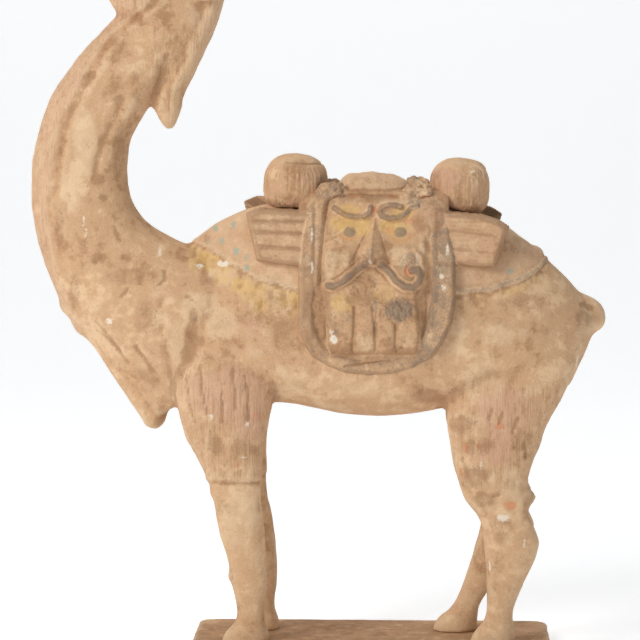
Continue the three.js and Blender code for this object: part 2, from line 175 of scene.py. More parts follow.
# x, z, half depth, half width
NAPE_LOCK = [
    [-118, 503, 5, 6],
    [-118.5, 496.5, 9, 11],
    [-126, 474, 10, 13],
    [-136, 451.5, 9.5, 13],
    [-145.5, 432, 10, 12],
    [-152, 418, 11, 11],
    [-152.5, 409, 10.5, 9.5],
    [-152, 402, 8, 7.5],
    [-151.3, 396.5, 5, 5],
    [-151.2, 393, 2.2, 2.5],
]
BREAST_LOCK = [
    [-200, 240, 14, 14],
    [-183, 217, 15, 15],
    [-172.5, 199.5, 14.5, 14],
    [-166.5, 187, 13, 12.5],
    [-164.5, 178, 10.5, 10],
    [-164.5, 171, 7.5, 7],
    [-164.5, 167.5, 3, 3],
]
TAIL_STUMP = [
    [154.5, 265.5, 7, 7],
    [165, 259, 8, 7],
    [168, 250.5, 7, 6],
    [160, 242, 5, 5],
    [157.5, 233, 4, 4.5],
    [155.5, 223.5, 2, 3],
]

HUMPS = {
    "hump_front": {"x": -57, "z": 352, "length": 24.5, "height": 23.5, "width": 25},
    "hump_back": {"x": 65, "z": 349.5, "length": 23, "height": 23, "width": 24},
}
HUMP_FULLNESS = 2.5
PACK_X = 2.25
# z, half width of the pack's flank
PACK_SIDE = [
    [200, 48],
    [208, 50],
    [222, 49],
    [230, 53],
    [239, 55],
    [254, 55],
    [269, 53],
    [284, 51],
    [299, 47],
    [314, 42],
    [329, 35.5],
    [340, 30],
    [348, 25],
    [352, 22],
]
ROLL = {"half_length": 28, "z": 349.5, "height": 12.5, "width": 25}
KNOTS = {
    "front": {"x": -29.5, "y": 23.5, "z": 346.5, "radii": (12.5, 8, 9.5)},
    "back": {"x": 34, "y": 22, "z": 348, "radii": (11.5, 8, 10)},
}
BACK_LUMP = {"x": 121, "y": -3, "z": 302, "radii": (6.5, 6, 4.5)}


# Small mathematics

def ramp(value, start, end):
    """Smooth step: 0 at start, 1 at end, with level ends: 3 t squared less 2 t cubed."""
    t = np.clip((value - start) / (end - start), 0, 1)
    return t * t * (3 - 2 * t)


def swell(distance, width):
    """A bell: e to the minus square of distance over width."""
    return np.exp(-((distance / width) ** 2))


def lattice(cells, seed):
    """A repeatable number from 0 to 1 for each whole-number place, by mixing its bits."""
    prime = np.array([374761393, 668265263, 1274126177], dtype=np.uint64)
    mixed = (cells.astype(np.uint64) * prime).sum(axis=-1) + np.uint64(seed * 977)
    mixed = (mixed ^ (mixed >> np.uint64(13))) * np.uint64(1274126177)
    mixed = (mixed ^ (mixed >> np.uint64(16))) & np.uint64(0xFFFF)
    return mixed.astype(float) / 0xFFFF


def noise(points, size, seed=0):
    """Smooth noise from -1 to 1: lattice numbers `size` mm apart, blended by a smooth step each way."""
    scaled = points / np.asarray(size, float) + 1000
    base = np.floor(scaled)
    part = scaled - base
    ease = part * part * part * (part * (part * 6 - 15) + 10)
    total = np.zeros(len(points))
    for corner in range(8):
        bits = np.array([corner & 1, corner >> 1 & 1, corner >> 2 & 1])
        weight = np.prod(np.where(bits, ease, 1 - ease), axis=1)
        total += weight * lattice(base + bits, seed)
    return total * 2 - 1


def layered(points, size, seed=0, layers=3):
    """Noise summed over finer layers, each of them 0.53 of the size and 0.55 of the height before it."""
    size = np.asarray(size, float)
    total = sum(0.55**i * noise(points, size * 0.53**i, seed + 7 * i) for i in range(layers))
    return total / sum(0.55**i for i in range(layers))


def distance_to(u, v, path):
    """Distance of the places (u, v) from a path of straight stretches."""
    nearest = np.full(u.shape, 1e9)
    for (u0, v0), (u1, v1) in zip(path[:-1], path[1:]):
        length2 = (u1 - u0) ** 2 + (v1 - v0) ** 2
        t = np.clip(((u - u0) * (u1 - u0) + (v - v0) * (v1 - v0)) / length2, 0, 1)
        nearest = np.minimum(nearest, np.hypot(u - u0 - t * (u1 - u0), v - v0 - t * (v1 - v0)))
    return nearest


def spot(u, v, place):
    """1 in the middle of an ellipse (u, v, half size u, half size v), falling to 0 a little past its rim."""
    u0, v0, size_u, size_v = place
    return 1 - ramp(np.hypot((u - u0) / size_u, (v - v0) / size_v), 0.55, 1.25)


def column(rows, value, key=0, want=1):
    """The wanted column at a value of the key column, on straight lines between the rows."""
    rows = np.array(rows, float)
    order = np.argsort(rows[:, key])
    return np.interp(value, rows[order, key], rows[order, want])


def smooth_rows(rows, steps=8):
    """More rows, on a Catmull-Rom cubic through the given ones, `steps` to a stretch."""
    rows = np.array(rows, float)
    padded = np.vstack([2 * rows[0] - rows[1], rows, 2 * rows[-1] - rows[-2]])
    a, b, c, d = padded[:-3], padded[1:-2], padded[2:-1], padded[3:]
    t = (np.arange(steps) / steps)[:, None, None]
    bent = 2 * b + (c - a) * t + (2 * a - 5 * b + 4 * c - d) * t**2 + (3 * b - a - 3 * c + d) * t**3
    return np.vstack([(bent / 2).transpose(1, 0, 2).reshape(-1, rows.shape[1]), rows[-1:]])


# Meshes

def squared_ring(sides, fullness):
    """Angles round a ring, with their cosines and sines squared up: sign times size to 2 / fullness."""
    angle = 2 * np.pi * np.arange(sides) / sides
    across, up = np.cos(angle), np.sin(angle)
    squared = lambda value: np.sign(value) * np.abs(value) ** (2 / fullness)
    return angle, squared(across), squared(up)


def closed_tube(rings):
    """A closed skin through rings: its points, the quads between rings and a fan over each end."""
    count, sides = rings.shape[:2]
    here = np.arange(count - 1)[:, None] * sides + np.arange(sides)
    onward = np.arange(count - 1)[:, None] * sides + (np.arange(sides) + 1) % sides
    quads = np.stack([here, onward, onward + sides, here + sides], axis=-1).reshape(-1, 4)
    tip = count * sides
    first, last = np.arange(sides), np.arange(sides) + (count - 1) * sides
    fans = [
        np.stack([np.full(sides, tip), np.roll(first, -1), first], axis=-1),
        np.stack([np.full(sides, tip + 1), last, np.roll(last, -1)], axis=-1),
    ]
    points = np.vstack([rings.reshape(-1, 3), rings[0].mean(axis=0), rings[-1].mean(axis=0)])
    return points, quads, np.vstack(fans)


def facing_out(points, quads, triangles):
    """The faces, turned round if the volume that they enclose comes out negative."""
    split = np.vstack([quads[:, [0, 1, 2]], quads[:, [0, 2, 3]], triangles])
    a, b, c = (points[split[:, i]] for i in range(3))
    if np.einsum("ij,ij->", a, np.cross(b, c)) >= 0:
        return quads, triangles
    return quads[:, ::-1], triangles[:, ::-1]


def mesh_of(name, points, quads, triangles):
    mesh = bpy.data.meshes.new(name)
    mesh.vertices.add(len(points))
    mesh.vertices.foreach_set("co", (points * MM).astype(np.float32).ravel())
    corners = np.concatenate([quads.ravel(), triangles.ravel()]).astype(np.int32)
    sizes = np.concatenate([np.full(len(quads), 4), np.full(len(triangles), 3)])
    mesh.loops.add(len(corners))
    mesh.loops.foreach_set("vertex_index", corners)
    mesh.polygons.add(len(sizes))
    mesh.polygons.foreach_set("loop_start", np.concatenate([[0], np.cumsum(sizes)[:-1]]).astype(np.int32))
    mesh.update(calc_edges=True)
    mesh.polygons.foreach_set("use_smooth", np.ones(len(sizes), bool))
    return mesh


NO_TRIANGLES = np.zeros((0, 3), int)
# Finishes laid over the clay; the earth one also carries painted shade in hollows, creases and under overhangs
FINISHES = ["earth_and_shade", "pale", "ochre", "pink", "orange", "grey", "blue", "white", "combed"]


def piece(name, points, quads, triangles, finishes, material):
    """A piece of the figure: its mesh, how much of each finish lies on every point, and its clay."""
    quads, triangles = facing_out(points, quads, triangles)
    mesh = mesh_of(name, points, quads, triangles)
    for finish in FINISHES:
        amount = np.broadcast_to(finishes.get(finish, 0.0), (len(points),)).astype(np.float32)
        mesh.attributes.new(finish, "FLOAT", "POINT").data.foreach_set("value", np.clip(amount, 0, 1))
    mesh.materials.append(material)
    thing = bpy.data.objects.new(name, mesh)
    bpy.context.scene.collection.objects.link(thing)
    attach(thing, "root")
    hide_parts(NODE)
    return thing


def normals_of(points, quads):
    """The direction out of each point: the crossed diagonals of its quads, added up."""
    a, b, c, d = (points[quads[:, i]] for i in range(4))
    face = np.cross(c - a, d - b)
    total = np.stack(
        [np.bincount(quads.ravel(), np.repeat(face[:, i], 4), len(points)) for i in range(3)], axis=1
    )
    return total / (np.linalg.norm(total, axis=1, keepdims=True) + 1e-12)


def neighbours_of(quads):
    """Both ends of every edge of the quads, each edge both ways."""
    start = np.concatenate([quads[:, i] for i in range(4)])
    end = np.concatenate([quads[:, (i + 1) % 4] for i in range(4)])
    return np.concatenate([start, end]), np.concatenate([end, start])


def relaxed(values, links, rounds, amount=0.5):
    """Each round moves every value by `amount` of the way to the mean of its neighbours."""
    start, end = links
    values = values if values.ndim == 2 else values[:, None]
    degree = np.maximum(np.bincount(start, minlength=len(values)), 1)
    for _ in range(rounds):
        mean = np.stack(
            [np.bincount(start, values[end, i], len(values)) / degree for i in range(values.shape[1])], axis=1
        )
        values = values + amount * (mean - values)
    return values if values.shape[1] > 1 else values[:, 0]


# The animal's parts as closed tubes

def trunk():
    _, across, up = squared_ring(72, TRUNK_FULLNESS)
    x, back, belly, half = (col[:, None] for col in smooth_rows(TRUNK, 6).T)
    y = half * across * (1 - TRUNK_TAPER * up)
    z = (back + belly) / 2 + (back - belly) / 2 * up
    return np.stack([x + 0 * y, y, z], axis=-1)


def neck():
    angle, out, across = squared_ring(64, NECK_FULLNESS)
    throat_x, throat_z, nape_x, nape_z, half = (col[:, None] for col in smooth_rows(NECK, 6).T)
    from_throat = np.minimum(angle, 2 * np.pi - angle)
    pinch = 1 - THROAT_MANE["pinch"] * swell(from_throat, THROAT_MANE["half_angle"])
    x = (throat_x + nape_x) / 2 + (throat_x - nape_x) / 2 * out
    z = (throat_z + nape_z) / 2 + (throat_z - nape_z) / 2 * out
    return np.stack([x, half * across * pinch, z], axis=-1)


def head_point(along, above, across):
    """A place on the head: so far along its axis, above it on the brow side, and across."""
    forward, rise = math.cos(HEAD_RISE), math.sin(HEAD_RISE)
    x = HEAD_BACK[0] - forward * along + rise * above
    z = HEAD_BACK[1] + rise * along + forward * above
    return np.stack(np.broadcast_arrays(x, across, z), axis=-1).astype(float)


def head_coordinates(points):
    """How far along the head's axis and above it the points are: head_point turned back."""
    forward, rise = math.cos(HEAD_RISE), math.sin(HEAD_RISE)
    x, z = points[:, 0] - HEAD_BACK[0], points[:, 2] - HEAD_BACK[1]
    return -forward * x + rise * z, rise * x + forward * z


def skull():
    """The head as far as the mouth, then an upper and a lower jaw with a wedge of air between them."""
    rows = smooth_rows(HEAD, 6)
    _, across, up = squared_ring(48, HEAD_FULLNESS)
    made = []
    for part in ("whole", "upper", "lower"):
        jawed = rows[:, 0] > MOUTH["inner"] - 8
        chosen = rows[rows[:, 0] < MOUTH["inner"] + 1] if part == "whole" else rows[jawed]
        along, brow, jaw, half = (col[:, None] for col in chosen.T)
        towards_lips = np.clip((along - MOUTH["inner"]) / (MOUTH["reach"] - MOUTH["inner"]), 0, 1)
        open_by = MOUTH["gape"] / 2 * towards_lips
        if part == "whole":
            above = np.where(up > 0, up * brow, up * jaw)
        elif part == "upper":
            floor = open_by - MOUTH["drop"]
            above = floor + np.where(up > 0, up * (brow - floor), up * MOUTH["lip"])
        else:
            ceiling = -open_by - MOUTH["drop"]
            above = ceiling + np.where(up > 0, up * MOUTH["lip"], up * (jaw + ceiling))
        made.append(head_point(along + 0 * above, above, half * across))
    return made


def ear(side):
    reach, length, half = (col[:, None] for col in smooth_rows(EAR, 4).T)
    _, along, out = squared_ring(20, 2)
    aside = side * (14 + reach * 0.35) + half * out
    return head_point(15 - reach * 0.75 + length * along, 17 + reach * 0.75 + 0 * along, aside)


def ball(middle, radii, levels=18):
    """Rings of an ellipsoid from its lower to its upper pole, as arrays of places about `middle`."""
    tilt = (np.arange(1, levels) / levels - 0.5)[:, None] * np.pi
    _, across, out = squared_ring(2 * levels, 2)
    girth = np.cos(tilt)
    shape = np.stack([girth * across, girth * out, np.sin(tilt) + 0 * across], axis=-1)
    return np.array(middle, float) + shape * np.array(radii, float)


def head_ball(along, above, across, radii):
    """An ellipsoid that lies along the head, its radii given along, across and above."""
    shape = ball((0, 0, 0), radii)
    return head_point(along + shape[..., 0], above + shape[..., 2], across + shape[..., 1])


def lock(rows):
    """A tapering lock: rings square to its path in the side view."""
    x, z, depth, half = smooth_rows(rows, 5).T
    path = np.stack([x, z], axis=1)
    along = np.gradient(path, axis=0)
    along /= np.linalg.norm(along, axis=1, keepdims=True)
    _, out, across = squared_ring(28, 2.2)
    step = depth[:, None] * out
    return np.stack(
        [x[:, None] - along[:, 1:] * step, half[:, None] * across, z[:, None] + along[:, :1] * step], axis=-1
    )


def leg(rows, side):
    """A leg of rings at falling heights. The far legs stand apart from the near ones lower down."""
    z, front, back, middle, half = (col[:, None] for col in smooth_rows(rows, 6).T)
    _, out, across = squared_ring(40, LEG_FULLNESS)
    shift = 0 * z
    if side == FAR:
        shift = 5.5 * (1 - ramp(z, 60, 160)) if rows is FORELEG else -np.clip(0.37 * (94 - z), 0, 28)
    x = (front + back) / 2 + (back - front) / 2 * out + shift
    return np.stack([x, side * middle + half * across, z + 0 * x], axis=-1)


def melted(tubes, voxel):
    """One outer skin over tubes that run into each other, as quads about `voxel` mm wide."""
    parts, shift = [closed_tube(rings) for rings in tubes], 0
    points, quads, triangles = [], [], []
    for part in parts:
        points.append(part[0])
        quads.append(part[1] + shift)
        triangles.append(part[2] + shift)
        shift += len(part[0])
    raw = mesh_of("raw_clay", *(np.vstack(stack) for stack in (points, quads, triangles)))
    thing = bpy.data.objects.new("raw_clay", raw)
    bpy.context.scene.collection.objects.link(thing)
    remesh = thing.modifiers.new("one_skin", "REMESH")
    remesh.mode = "VOXEL"
    remesh.voxel_size = voxel * MM
    skinned = thing.evaluated_get(bpy.context.evaluated_depsgraph_get())
    mesh = skinned.to_mesh()
    places = np.empty(len(mesh.vertices) * 3, np.float32)
    mesh.vertices.foreach_get("co", places)
    corners = np.empty(len(mesh.loops), np.int32)
    mesh.loops.foreach_get("vertex_index", corners)
    skinned.to_mesh_clear()
    bpy.data.objects.remove(thing)
    return places.reshape(-1, 3).astype(float) / MM, corners.reshape(-1, 4).astype(int)


# What the hand, the ground and time left on the skin, with painted shade in its creases. Places are (x, z) in the
# side view.

MANE_EDGE = [
    (-165, 487), (-178, 477), (-195, 463.5), (-207, 447), (-219, 424), (-233, 399), (-238.5, 369),
    (-243.5, 338), (-241, 313.5), (-235, 284), (-227, 262), (-217, 246), (-202, 241),
]
BLANKET_EDGE = [
    (-140, 312), (-136.5, 310), (-120, 302), (-108, 294), (-94, 285), (-85.5, 280), (-72, 277), (-54, 271.5),
    (-20, 262), (30, 262), (64.5, 270), (88, 272), (112.5, 280), (122.5, 286.5), (130.5, 295.5), (133, 303),
]
# A cut or crease: its path, half width, depth (raised where negative), and the earth and painted shade laid in it
BOTH_SIDES = [
    ([(-187.5, 416), (-194, 399), (-201, 385.5), (-206, 371), (-208.5, 357)], 2.4, 0.9, 0.25),
    ([(-153.5, 447), (-159, 429), (-163, 416)], 2.2, 1.0, 0.3),
    ([(-139, 447), (-151, 425), (-153, 408)], 1.8, 0.7, 0.2),
    ([(-164, 435), (-179, 414), (-184, 404)], 3.0, -0.8, 0.0),
    ([(-177.5, 411), (-192, 387), (-199, 360)], 3.0, -0.7, 0.0),
    ([(-158.5, 265), (-159, 244), (-154.5, 220.5), (-150, 200.5)], 3.2, 0.7, 0.2),
    ([(-208.5, 249), (-202, 242), (-191, 227), (-184, 218)], 1.5, 1.0, 0.5),
    ([(67.5, 145.5), (73.5, 130.5), (80, 120), (89, 118), (95, 119)], 1.8, 0.9, 0.35),
    ([(-119, 128), (-105, 126.5), (-92, 126), (-84, 127.5)], 1.4, 0.7, 0.3),
]
NEAR_ONLY = [
    ([(-129.5, 215), (-128, 195), (-124, 179)], 0.9, 1.1, 0.7),
    ([(-105, 214), (-103.5, 196), (-103, 183)], 0.9, 1.0, 0.6),
    ([(-96, 208), (-94, 196), (-93, 175)], 0.9, 1.1, 0.5),
    ([(-113.5, 196), (-113.5, 173)], 0.8, 0.7, 0.4),
    ([(-139.5, 207), (-137.5, 187.5), (-133.5, 173)], 0.8, 0.7, 0.4),
    ([(-156.5, 287.5), (-155, 282), (-159.5, 277)], 0.9, 1.2, 1.0),
    ([(-178, 229.5), (-171.5, 221), (-165, 211)], 1.3, 1.2, 0.9),
    ([(-207.5, 242), (-200, 236), (-190, 226)], 1.1, 0.8, 0.7),
    ([(90, 183), (87, 175)], 0.9, 0.9, 0.5),
    ([(97.5, 181), (95.5, 174)], 0.9, 0.9, 0.5),
    ([(109.5, 177), (105, 166)], 1.0, 0.8, 0.3),
    ([(114.5, 157.5), (115, 154)], 1.0, 1.4, 1.0),
    ([(115.5, 151), (116, 147)], 1.0, 1.4, 1.0),
    ([(68, 126), (78, 116), (85.5, 104)], 1.8, 0.8, 0.3),
    ([(-208, 297), (-208.5, 293)], 1.1, 1.2, 1.0),
    ([(-186, 297.5), (-182.5, 296)], 1.2, 1.2, 0.9),
    ([(-184.5, 273), (-187, 269), (-190, 268)], 1.0, 0.7, 0.7),
    ([(-193.5, 320), (-189.5, 309.5)], 1.2, 0.7, 0.6),
    ([(-140, 268), (-133, 264)], 1.2, 0.6, 0.3),
    ([(158, 263), (163, 260.5)], 2.0, 1.6, 0.8),
]
# Lumps and hollows: x, z, half size x, half size z, height
LUMPS = [
    (-209.5, 434, 4, 3.6, -1.6),
    (-136, 236, 5, 17, -0.6),
    (-60, 208, 16, 10, 0.8),
    (-84, 232, 12, 18, 0.7),
    (100, 232, 26, 20, 0.8),
    (40, 193, 14, 7, -0.6),
    (152, 210, 8, 9, 0.8),
]
# Scabs of crust that show on the outline too: x, y, z, size, height
SCABS = [
    (-233.5, -2, 257.5, 3.4, 2.6),
    (-236, -2, 262, 2.4, 1.6),
    (-222.5, -3, 239.5, 3.4, 2.4),
    (-226, -3, 244, 2.6, 1.4),
    (-121, -20, 121.5, 2.6, 2.6),
    (-122.5, -18, 126, 2.0, 1.6),
    (-106.5, -24, 59, 3.2, 2.0),
    (118, -24, 131, 3.0, 1.6),
    (121, -24, 122, 3.6, 1.8),
    (153, -6, 226, 2.6, 1.8),
    (143, -8, 208, 3.6, 1.4),
]
# Patches of one finish: finish, amount, x, z, half size x, half size z
PATCHES = [
    ("earth_and_shade", 0.75, -190, 415, 4, 4),
    ("earth_and_shade", 0.7, -203, 385, 2.6, 4),
    ("earth_and_shade", 0.85, -205, 355.5, 6, 4.5),
    ("earth_and_shade", 0.8, -202, 342, 4, 3.5),
    ("earth_and_shade", 0.5, -190, 378, 5, 24),
    ("earth_and_shade", 0.45, -213, 430, 7, 5),
    ("earth_and_shade", 0.4, -178, 432, 4, 5),
    ("earth_and_shade", 0.5, -235, 318, 4, 20),
    ("earth_and_shade", 0.55, -224, 270, 5, 16),
    ("earth_and_shade", 0.6, -206, 297, 6, 5),
    ("earth_and_shade", 0.55, -185, 297, 7, 5),
    ("earth_and_shade", 0.5, -181, 283, 22, 7),
    ("earth_and_shade", 0.45, -170, 250, 9, 14),
    ("earth_and_shade", 0.8, -134.5, 253, 3.6, 7),
    ("earth_and_shade", 0.85, -136.5, 238, 5, 10),
    ("earth_and_shade", 0.8, -139.5, 224, 4.5, 7),
    ("earth_and_shade", 0.8, -143.5, 213, 3.4, 5),
    ("earth_and_shade", 0.7, -158, 176, 6, 10),
    ("earth_and_shade", 0.5, -170, 205, 10, 10),
    ("earth_and_shade", 0.7, -118, 154.5, 7, 8.5),
    ("earth_and_shade", 0.65, -100, 154.5, 6.5, 7),
    ("earth_and_shade", 0.7, -89, 152, 4, 4),
    ("earth_and_shade", 0.4, -112, 106, 8, 9),
    ("earth_and_shade", 0.5, -84, 112, 3, 9),
    ("earth_and_shade", 0.75, 42, 193, 13, 6),
    ("earth_and_shade", 0.75, 67, 172, 9, 8),
    ("earth_and_shade", 0.7, 80, 156, 12, 8),
    ("earth_and_shade", 0.7, 78, 132, 12, 9),
    ("earth_and_shade", 0.75, 84, 115, 9, 7),
    ("earth_and_shade", 0.6, 112, 160, 9, 10),
    ("earth_and_shade", 0.6, 118, 108, 5, 12),
    ("earth_and_shade", 0.5, 98, 92, 10, 12),
    ("earth_and_shade", 0.5, 118, 265, 14, 8),
    ("earth_and_shade", 0.55, 158, 252, 6, 7),
    ("earth_and_shade", 0.4, -70, 258, 12, 14),
    ("earth_and_shade", 0.5, -66, 238, 10, 14),
    ("pale", 0.8, -215, 385, 9, 26),
    ("pale", 0.6, -224, 350, 9, 20),
    ("pale", 0.7, -128, 262, 15, 10),
    ("pale", 0.7, -114, 248, 14, 14),
    ("pale", 0.6, -146, 232, 6, 20),
    ("pale", 0.55, -112, 284, 14, 9),
    ("pale", 0.6, -150, 200, 6, 12),
    ("pale", 0.5, -100, 100, 12, 26),
    ("pale", 0.5, 60, 236, 14, 18),
    ("pale", 0.5, 92, 238, 14, 9),
    ("pale", 0.5, 86, 205, 16, 18),
    ("pale", 0.6, 105, 128, 7, 12),
    ("pale", 0.4, -10, 200, 26, 8),
    ("pink", 0.8, -108, 195, 36, 22),
    ("pink", 0.5, -92, 172, 12, 22),
    ("pink", 0.6, 100, 180, 26, 22),
    ("pink", 0.5, 92, 150, 16, 14),
    ("pink", 0.5, -96, 245, 14, 10),
    ("orange", 0.9, 71, 155, 2.4, 4.5),
    ("orange", 0.7, 80, 156, 1.6, 4.5),
    ("orange", 0.8, 96, 171, 4.5, 3),
    ("orange", 0.9, 104, 111, 6, 3.4),
    ("orange", 0.6, 67, 136, 2.5, 5),
    ("orange", 0.5, -86, 178, 4.5, 2.5),
    ("orange", 0.5, -101, 141, 3, 3),
    ("white", 0.8, -216, 324, 1.2, 4),
    ("white", 0.6, -214, 315, 1.0, 5),
    ("white", 0.6, -159, 302, 1.2, 4.5),
    ("white", 0.7, -112, 293, 6, 2.6),
    ("white", 0.5, -129, 291, 5, 2.2),
    ("white", 0.7, -121, 177, 2.4, 2.6),
    ("white", 0.7, -96.5, 146.5, 3, 1.4),
    ("white", 0.5, -94, 171, 1.8, 2),
    ("white", 0.7, -234, 251, 3, 2),
    ("white", 0.6, -197, 249, 3, 3),
    ("white", 0.9, 99, 101.5, 5, 3),
    ("white", 1.0, 114.5, 83, 0.9, 6),
    ("white", 0.9, 89, 65, 0.9, 4),
    ("white", 0.5, 154, 215, 1.8, 12),
    ("white", 0.5, 82, 142, 2, 5),
    ("white", 0.5, 52, 178, 3, 1.5),
    ("blue", 0.95, -117, 319.5, 2.4, 3.4),
    ("blue", 0.8, -103.5, 321.5, 2.2, 3.2),
    ("blue", 0.7, -113, 309.5, 2.4, 3),
    ("blue", 1.0, -102, 302, 2.4, 3.2),
    ("blue", 0.95, -93, 290, 2.2, 3),
    ("blue", 0.6, -94, 298, 1.8, 4),
    ("blue", 0.45, -122, 309, 2.2, 2.6),
    ("blue", 0.8, 102.5, 287, 3, 2.2),
    ("grey", 0.5, -133, 251, 3, 3),
]


def side_view(x, y, z):
    """Where places are seen from the side, from a little above and 2.2 m off: what stands out looks larger."""
    out = np.abs(y)
    nearer = 1 + out / 2200
    return (x - 0.035 * out + 39) * nearer - 39, (z - 0.087 * out - 250.5) * nearer + 250.5


def skin_relief(points, normals):
    """How far each point of the skin stands out, in mm, and how much of each finish is on it."""
    u, v = side_view(*points.T)
    near = ramp(-points[:, 1], 0, 5)
    flank = ramp(np.abs(normals[:, 1]), 0.15, 0.45)
    finish = {name: np.zeros(len(points)) for name in FINISHES}

    # Hand-smoothed clay: slow swells, then small mottles
    rise = 0.55 * layered(points, 26, 3) + 0.28 * layered(points, 7, 11, 2)

    # The mane down the throat: a raised strip of combed hair
    from_edge = column(MANE_EDGE, v, 1, 0) - u
    throat = ramp(v, 236, 250) * (u < -150)
    strip = ramp(from_edge, -1.5, 2.0) * throat
    combing = layered(points, (2.6, 2.6, 30), 21, 2)
    furrow = swell(from_edge + 4, 3.4) * throat * (0.6 + 0.5 * noise(points, 22, 23))
    rise += 0.7 * strip - 0.7 * furrow + 0.3 * combing * strip
    rise += 0.5 * swell(from_edge + 9.5, 3.5) * throat
    finish["pink"] += 0.5 * strip
    finish["pale"] += 0.3 * strip
    finish["combed"] += strip
    # earth and painted shade in the furrow beside the strip
    finish["earth_and_shade"] += 0.16 * furrow

    # The saddle cloth: a proud edge with a cord along it, and the ruffle that hangs below in soft pleats
    below = column(BLANKET_EDGE, u) - v
    over_back = ramp(u, -141, -134) * (1 - ramp(u, 129, 135)) * (v > 225)
    rise += 0.9 * (1 - ramp(below, -1.4, 1.0)) * over_back
    aft = ramp(u, 50, 62)
    cord = swell(below + 2, 1.9) * over_back
    rise += cord * (0.3 + 0.7 * aft)
    finish["grey"] += cord * (0.25 + 0.3 * aft)
    finish["pale"] += 0.3 * cord
    depth = 27 - 12 * aft + 5 * noise(points, 11, 5)
    hanging = ramp(below, 0, 2) * (1 - ramp(below, depth - 9, depth)) * over_back
    curls = layered(points, (4.6, 6, 7), 31, 2)
    rise += hanging * (0.4 + 0.9 * curls)
    finish["ochre"] += hanging * (0.5 + 0.35 * noise(points, 9, 8)) * (1 - 0.35 * aft)
    finish["pale"] += 0.35 * hanging * ramp(curls, 0, 0.6)
    # earth and painted shade between the pleats
    finish["earth_and_shade"] += 0.25 * hanging * ramp(-curls, 0.1, 0.6)
    on_cloth = (1 - ramp(below, -3, 0)) * over_back
    finish["pink"] += 0.3 * on_cloth
    finish["pale"] += 0.4 * on_cloth

    # Creases, lumps and patches that the hand and the years left; the creases get earth and painted shade
    for creases, where in ((BOTH_SIDES, flank), (NEAR_ONLY, flank * near)):
        for path, width, depth, earth_and_shade in creases:
            line = swell(distance_to(u, v, smooth_rows(path, 3)), 1.25 * width) * where
            rise -= depth * line
            # earth and painted shade along the crease
            finish["earth_and_shade"] += 0.45 * earth_and_shade * line
    for x, y, z, size, height in SCABS:
        scab = swell(np.linalg.norm(points - (x, y, z), axis=1), size * 1.6)
        rise += height * scab
        finish["earth_and_shade"] += 0.5 * scab
    for x, z, size_x, size_z, height in LUMPS:
        rise += height * spot(u, v, (x, z, size_x, size_z)) * flank * near
    for name, amount, *place in PATCHES:
        mirrored = 1.0 if name == "blue" else 0.0
        finish[name] += amount * spot(u, v, place) * np.maximum(near, mirrored) * flank

    # Combed hair down the upper legs, deeper in places
    thigh = ramp(v, 118, 135) * (1 - ramp(v, 205, 226))
    fore = thigh * ramp(u, -160, -150) * (1 - ramp(u, -75, -66))
    hind = ramp(v, 118, 130) * (1 - ramp(v, 196, 212)) * ramp(u, 50, 58)
    hair = np.maximum(fore, hind)
    strands = layered(points, (3.2, 3.2, 34), 41, 2)
    rise += 0.5 * strands * hair
    finish["combed"] += 0.9 * hair
    finish["pink"] += 0.15 * hair

    # The upper leg ends in a ledge over the shin, with painted shadow and earth along its foot
    cuff = distance_to(u, v, [(-119, 127.5), (-84, 127)])
    rise += 0.8 * ramp(v, 126.5, 129.5) * (1 - ramp(v, 131, 150)) * (u > -125) * (u < -78)
    finish["earth_and_shade"] += 0.12 * swell(cuff, 2)

    # A pale line along the belly, and painted shade on what faces aft
    seam = swell(distance_to(u, v, [(-72, 219), (-61, 201), (-40, 189), (-16.5, 181.5)]), 3.0) * flank
    finish["pale"] += 0.5 * seam
    rise += 0.3 * seam
    finish["earth_and_shade"] += 0.14 * ramp(normals[:, 0], 0.2, 0.9) * ramp(v, 140, 200)

    # Toes: a cleft down the front of each foot
    toe = swell(np.abs(points[:, 1]) - 24.5, 1.7) * (1 - ramp(points[:, 2], 22, 30))
    front = ramp(-normals[:, 0], 0.1, 0.6)
    rise -= 2.2 * toe * front

    # The head, plainer than the rest: nostrils, lids and a cheek line
    along, above = head_coordinates(points)
    aside = np.abs(points[:, 1])
    on_head = (along > 2) * (points[:, 2] > 470)
    nostril = swell(np.hypot((along - 113) / 1.6, above - 8.5), 2.6) * swell(aside - 9, 5) * on_head
    rise -= 2.6 * nostril
    lid = np.hypot((along - 45) / 1.45, (above - 10.5) / 1.15)
    rise += on_head * (aside > 8) * (0.9 * swell(lid - 5.4, 1.1) - 0.9 * swell(lid - 3.4, 0.9))
    cheek = swell(distance_to(along, above, [(30, -24), (44, -16), (50, -4), (58, 3)]), 2.2)
    rise -= 0.7 * cheek * on_head
    tuft = on_head * spot(along, above, (14, 26, 20, 12))
    rise += 0.5 * tuft * layered(points, (22, 1.9, 22), 51, 2)
    finish["combed"] += 0.4 * tuft
    # earth and painted shade in the nostrils and round the lids
    finish["earth_and_shade"] += 0.5 * nostril + 0.25 * on_head * swell(lid - 3.4, 0.9)

    # Hair on the hanging locks
    on_nape = (u > -165) * (u < -108) * (v > 392) * (v < 500) * (1 - on_head)
    rise += 0.35 * on_nape * layered(points, (2.4, 2.4, 26), 61, 2)
    finish["combed"] += 0.6 * on_nape
    on_breast = ramp(-u, 155, 162) * (v < 232) * (v > 165)
    rise += 0.3 * on_breast * layered(points, (2.8, 2.8, 24), 71, 2)
    return rise, finish


def hollows_shaded_and_rubbed(points, quads, links, finish):
    """Adds what curvature decides: earth and painted shade stay in hollows of two sizes, and what stands out is
    rubbed pale.
    """
    normals = normals_of(points, quads)
    for rounds, reach in ((6, 0.34), (40, 1.6)):
        eased = relaxed(points, links, rounds)
        hollow = ((eased - points) * normals).sum(axis=1) / reach
        # earth, and painted shade in the hollows
        finish["earth_and_shade"] = finish["earth_and_shade"] + 0.75 * np.clip(hollow, 0, 1.2)
        finish["pale"] = finish["pale"] + 0.45 * np.clip(-hollow, 0, 1)
    return finish


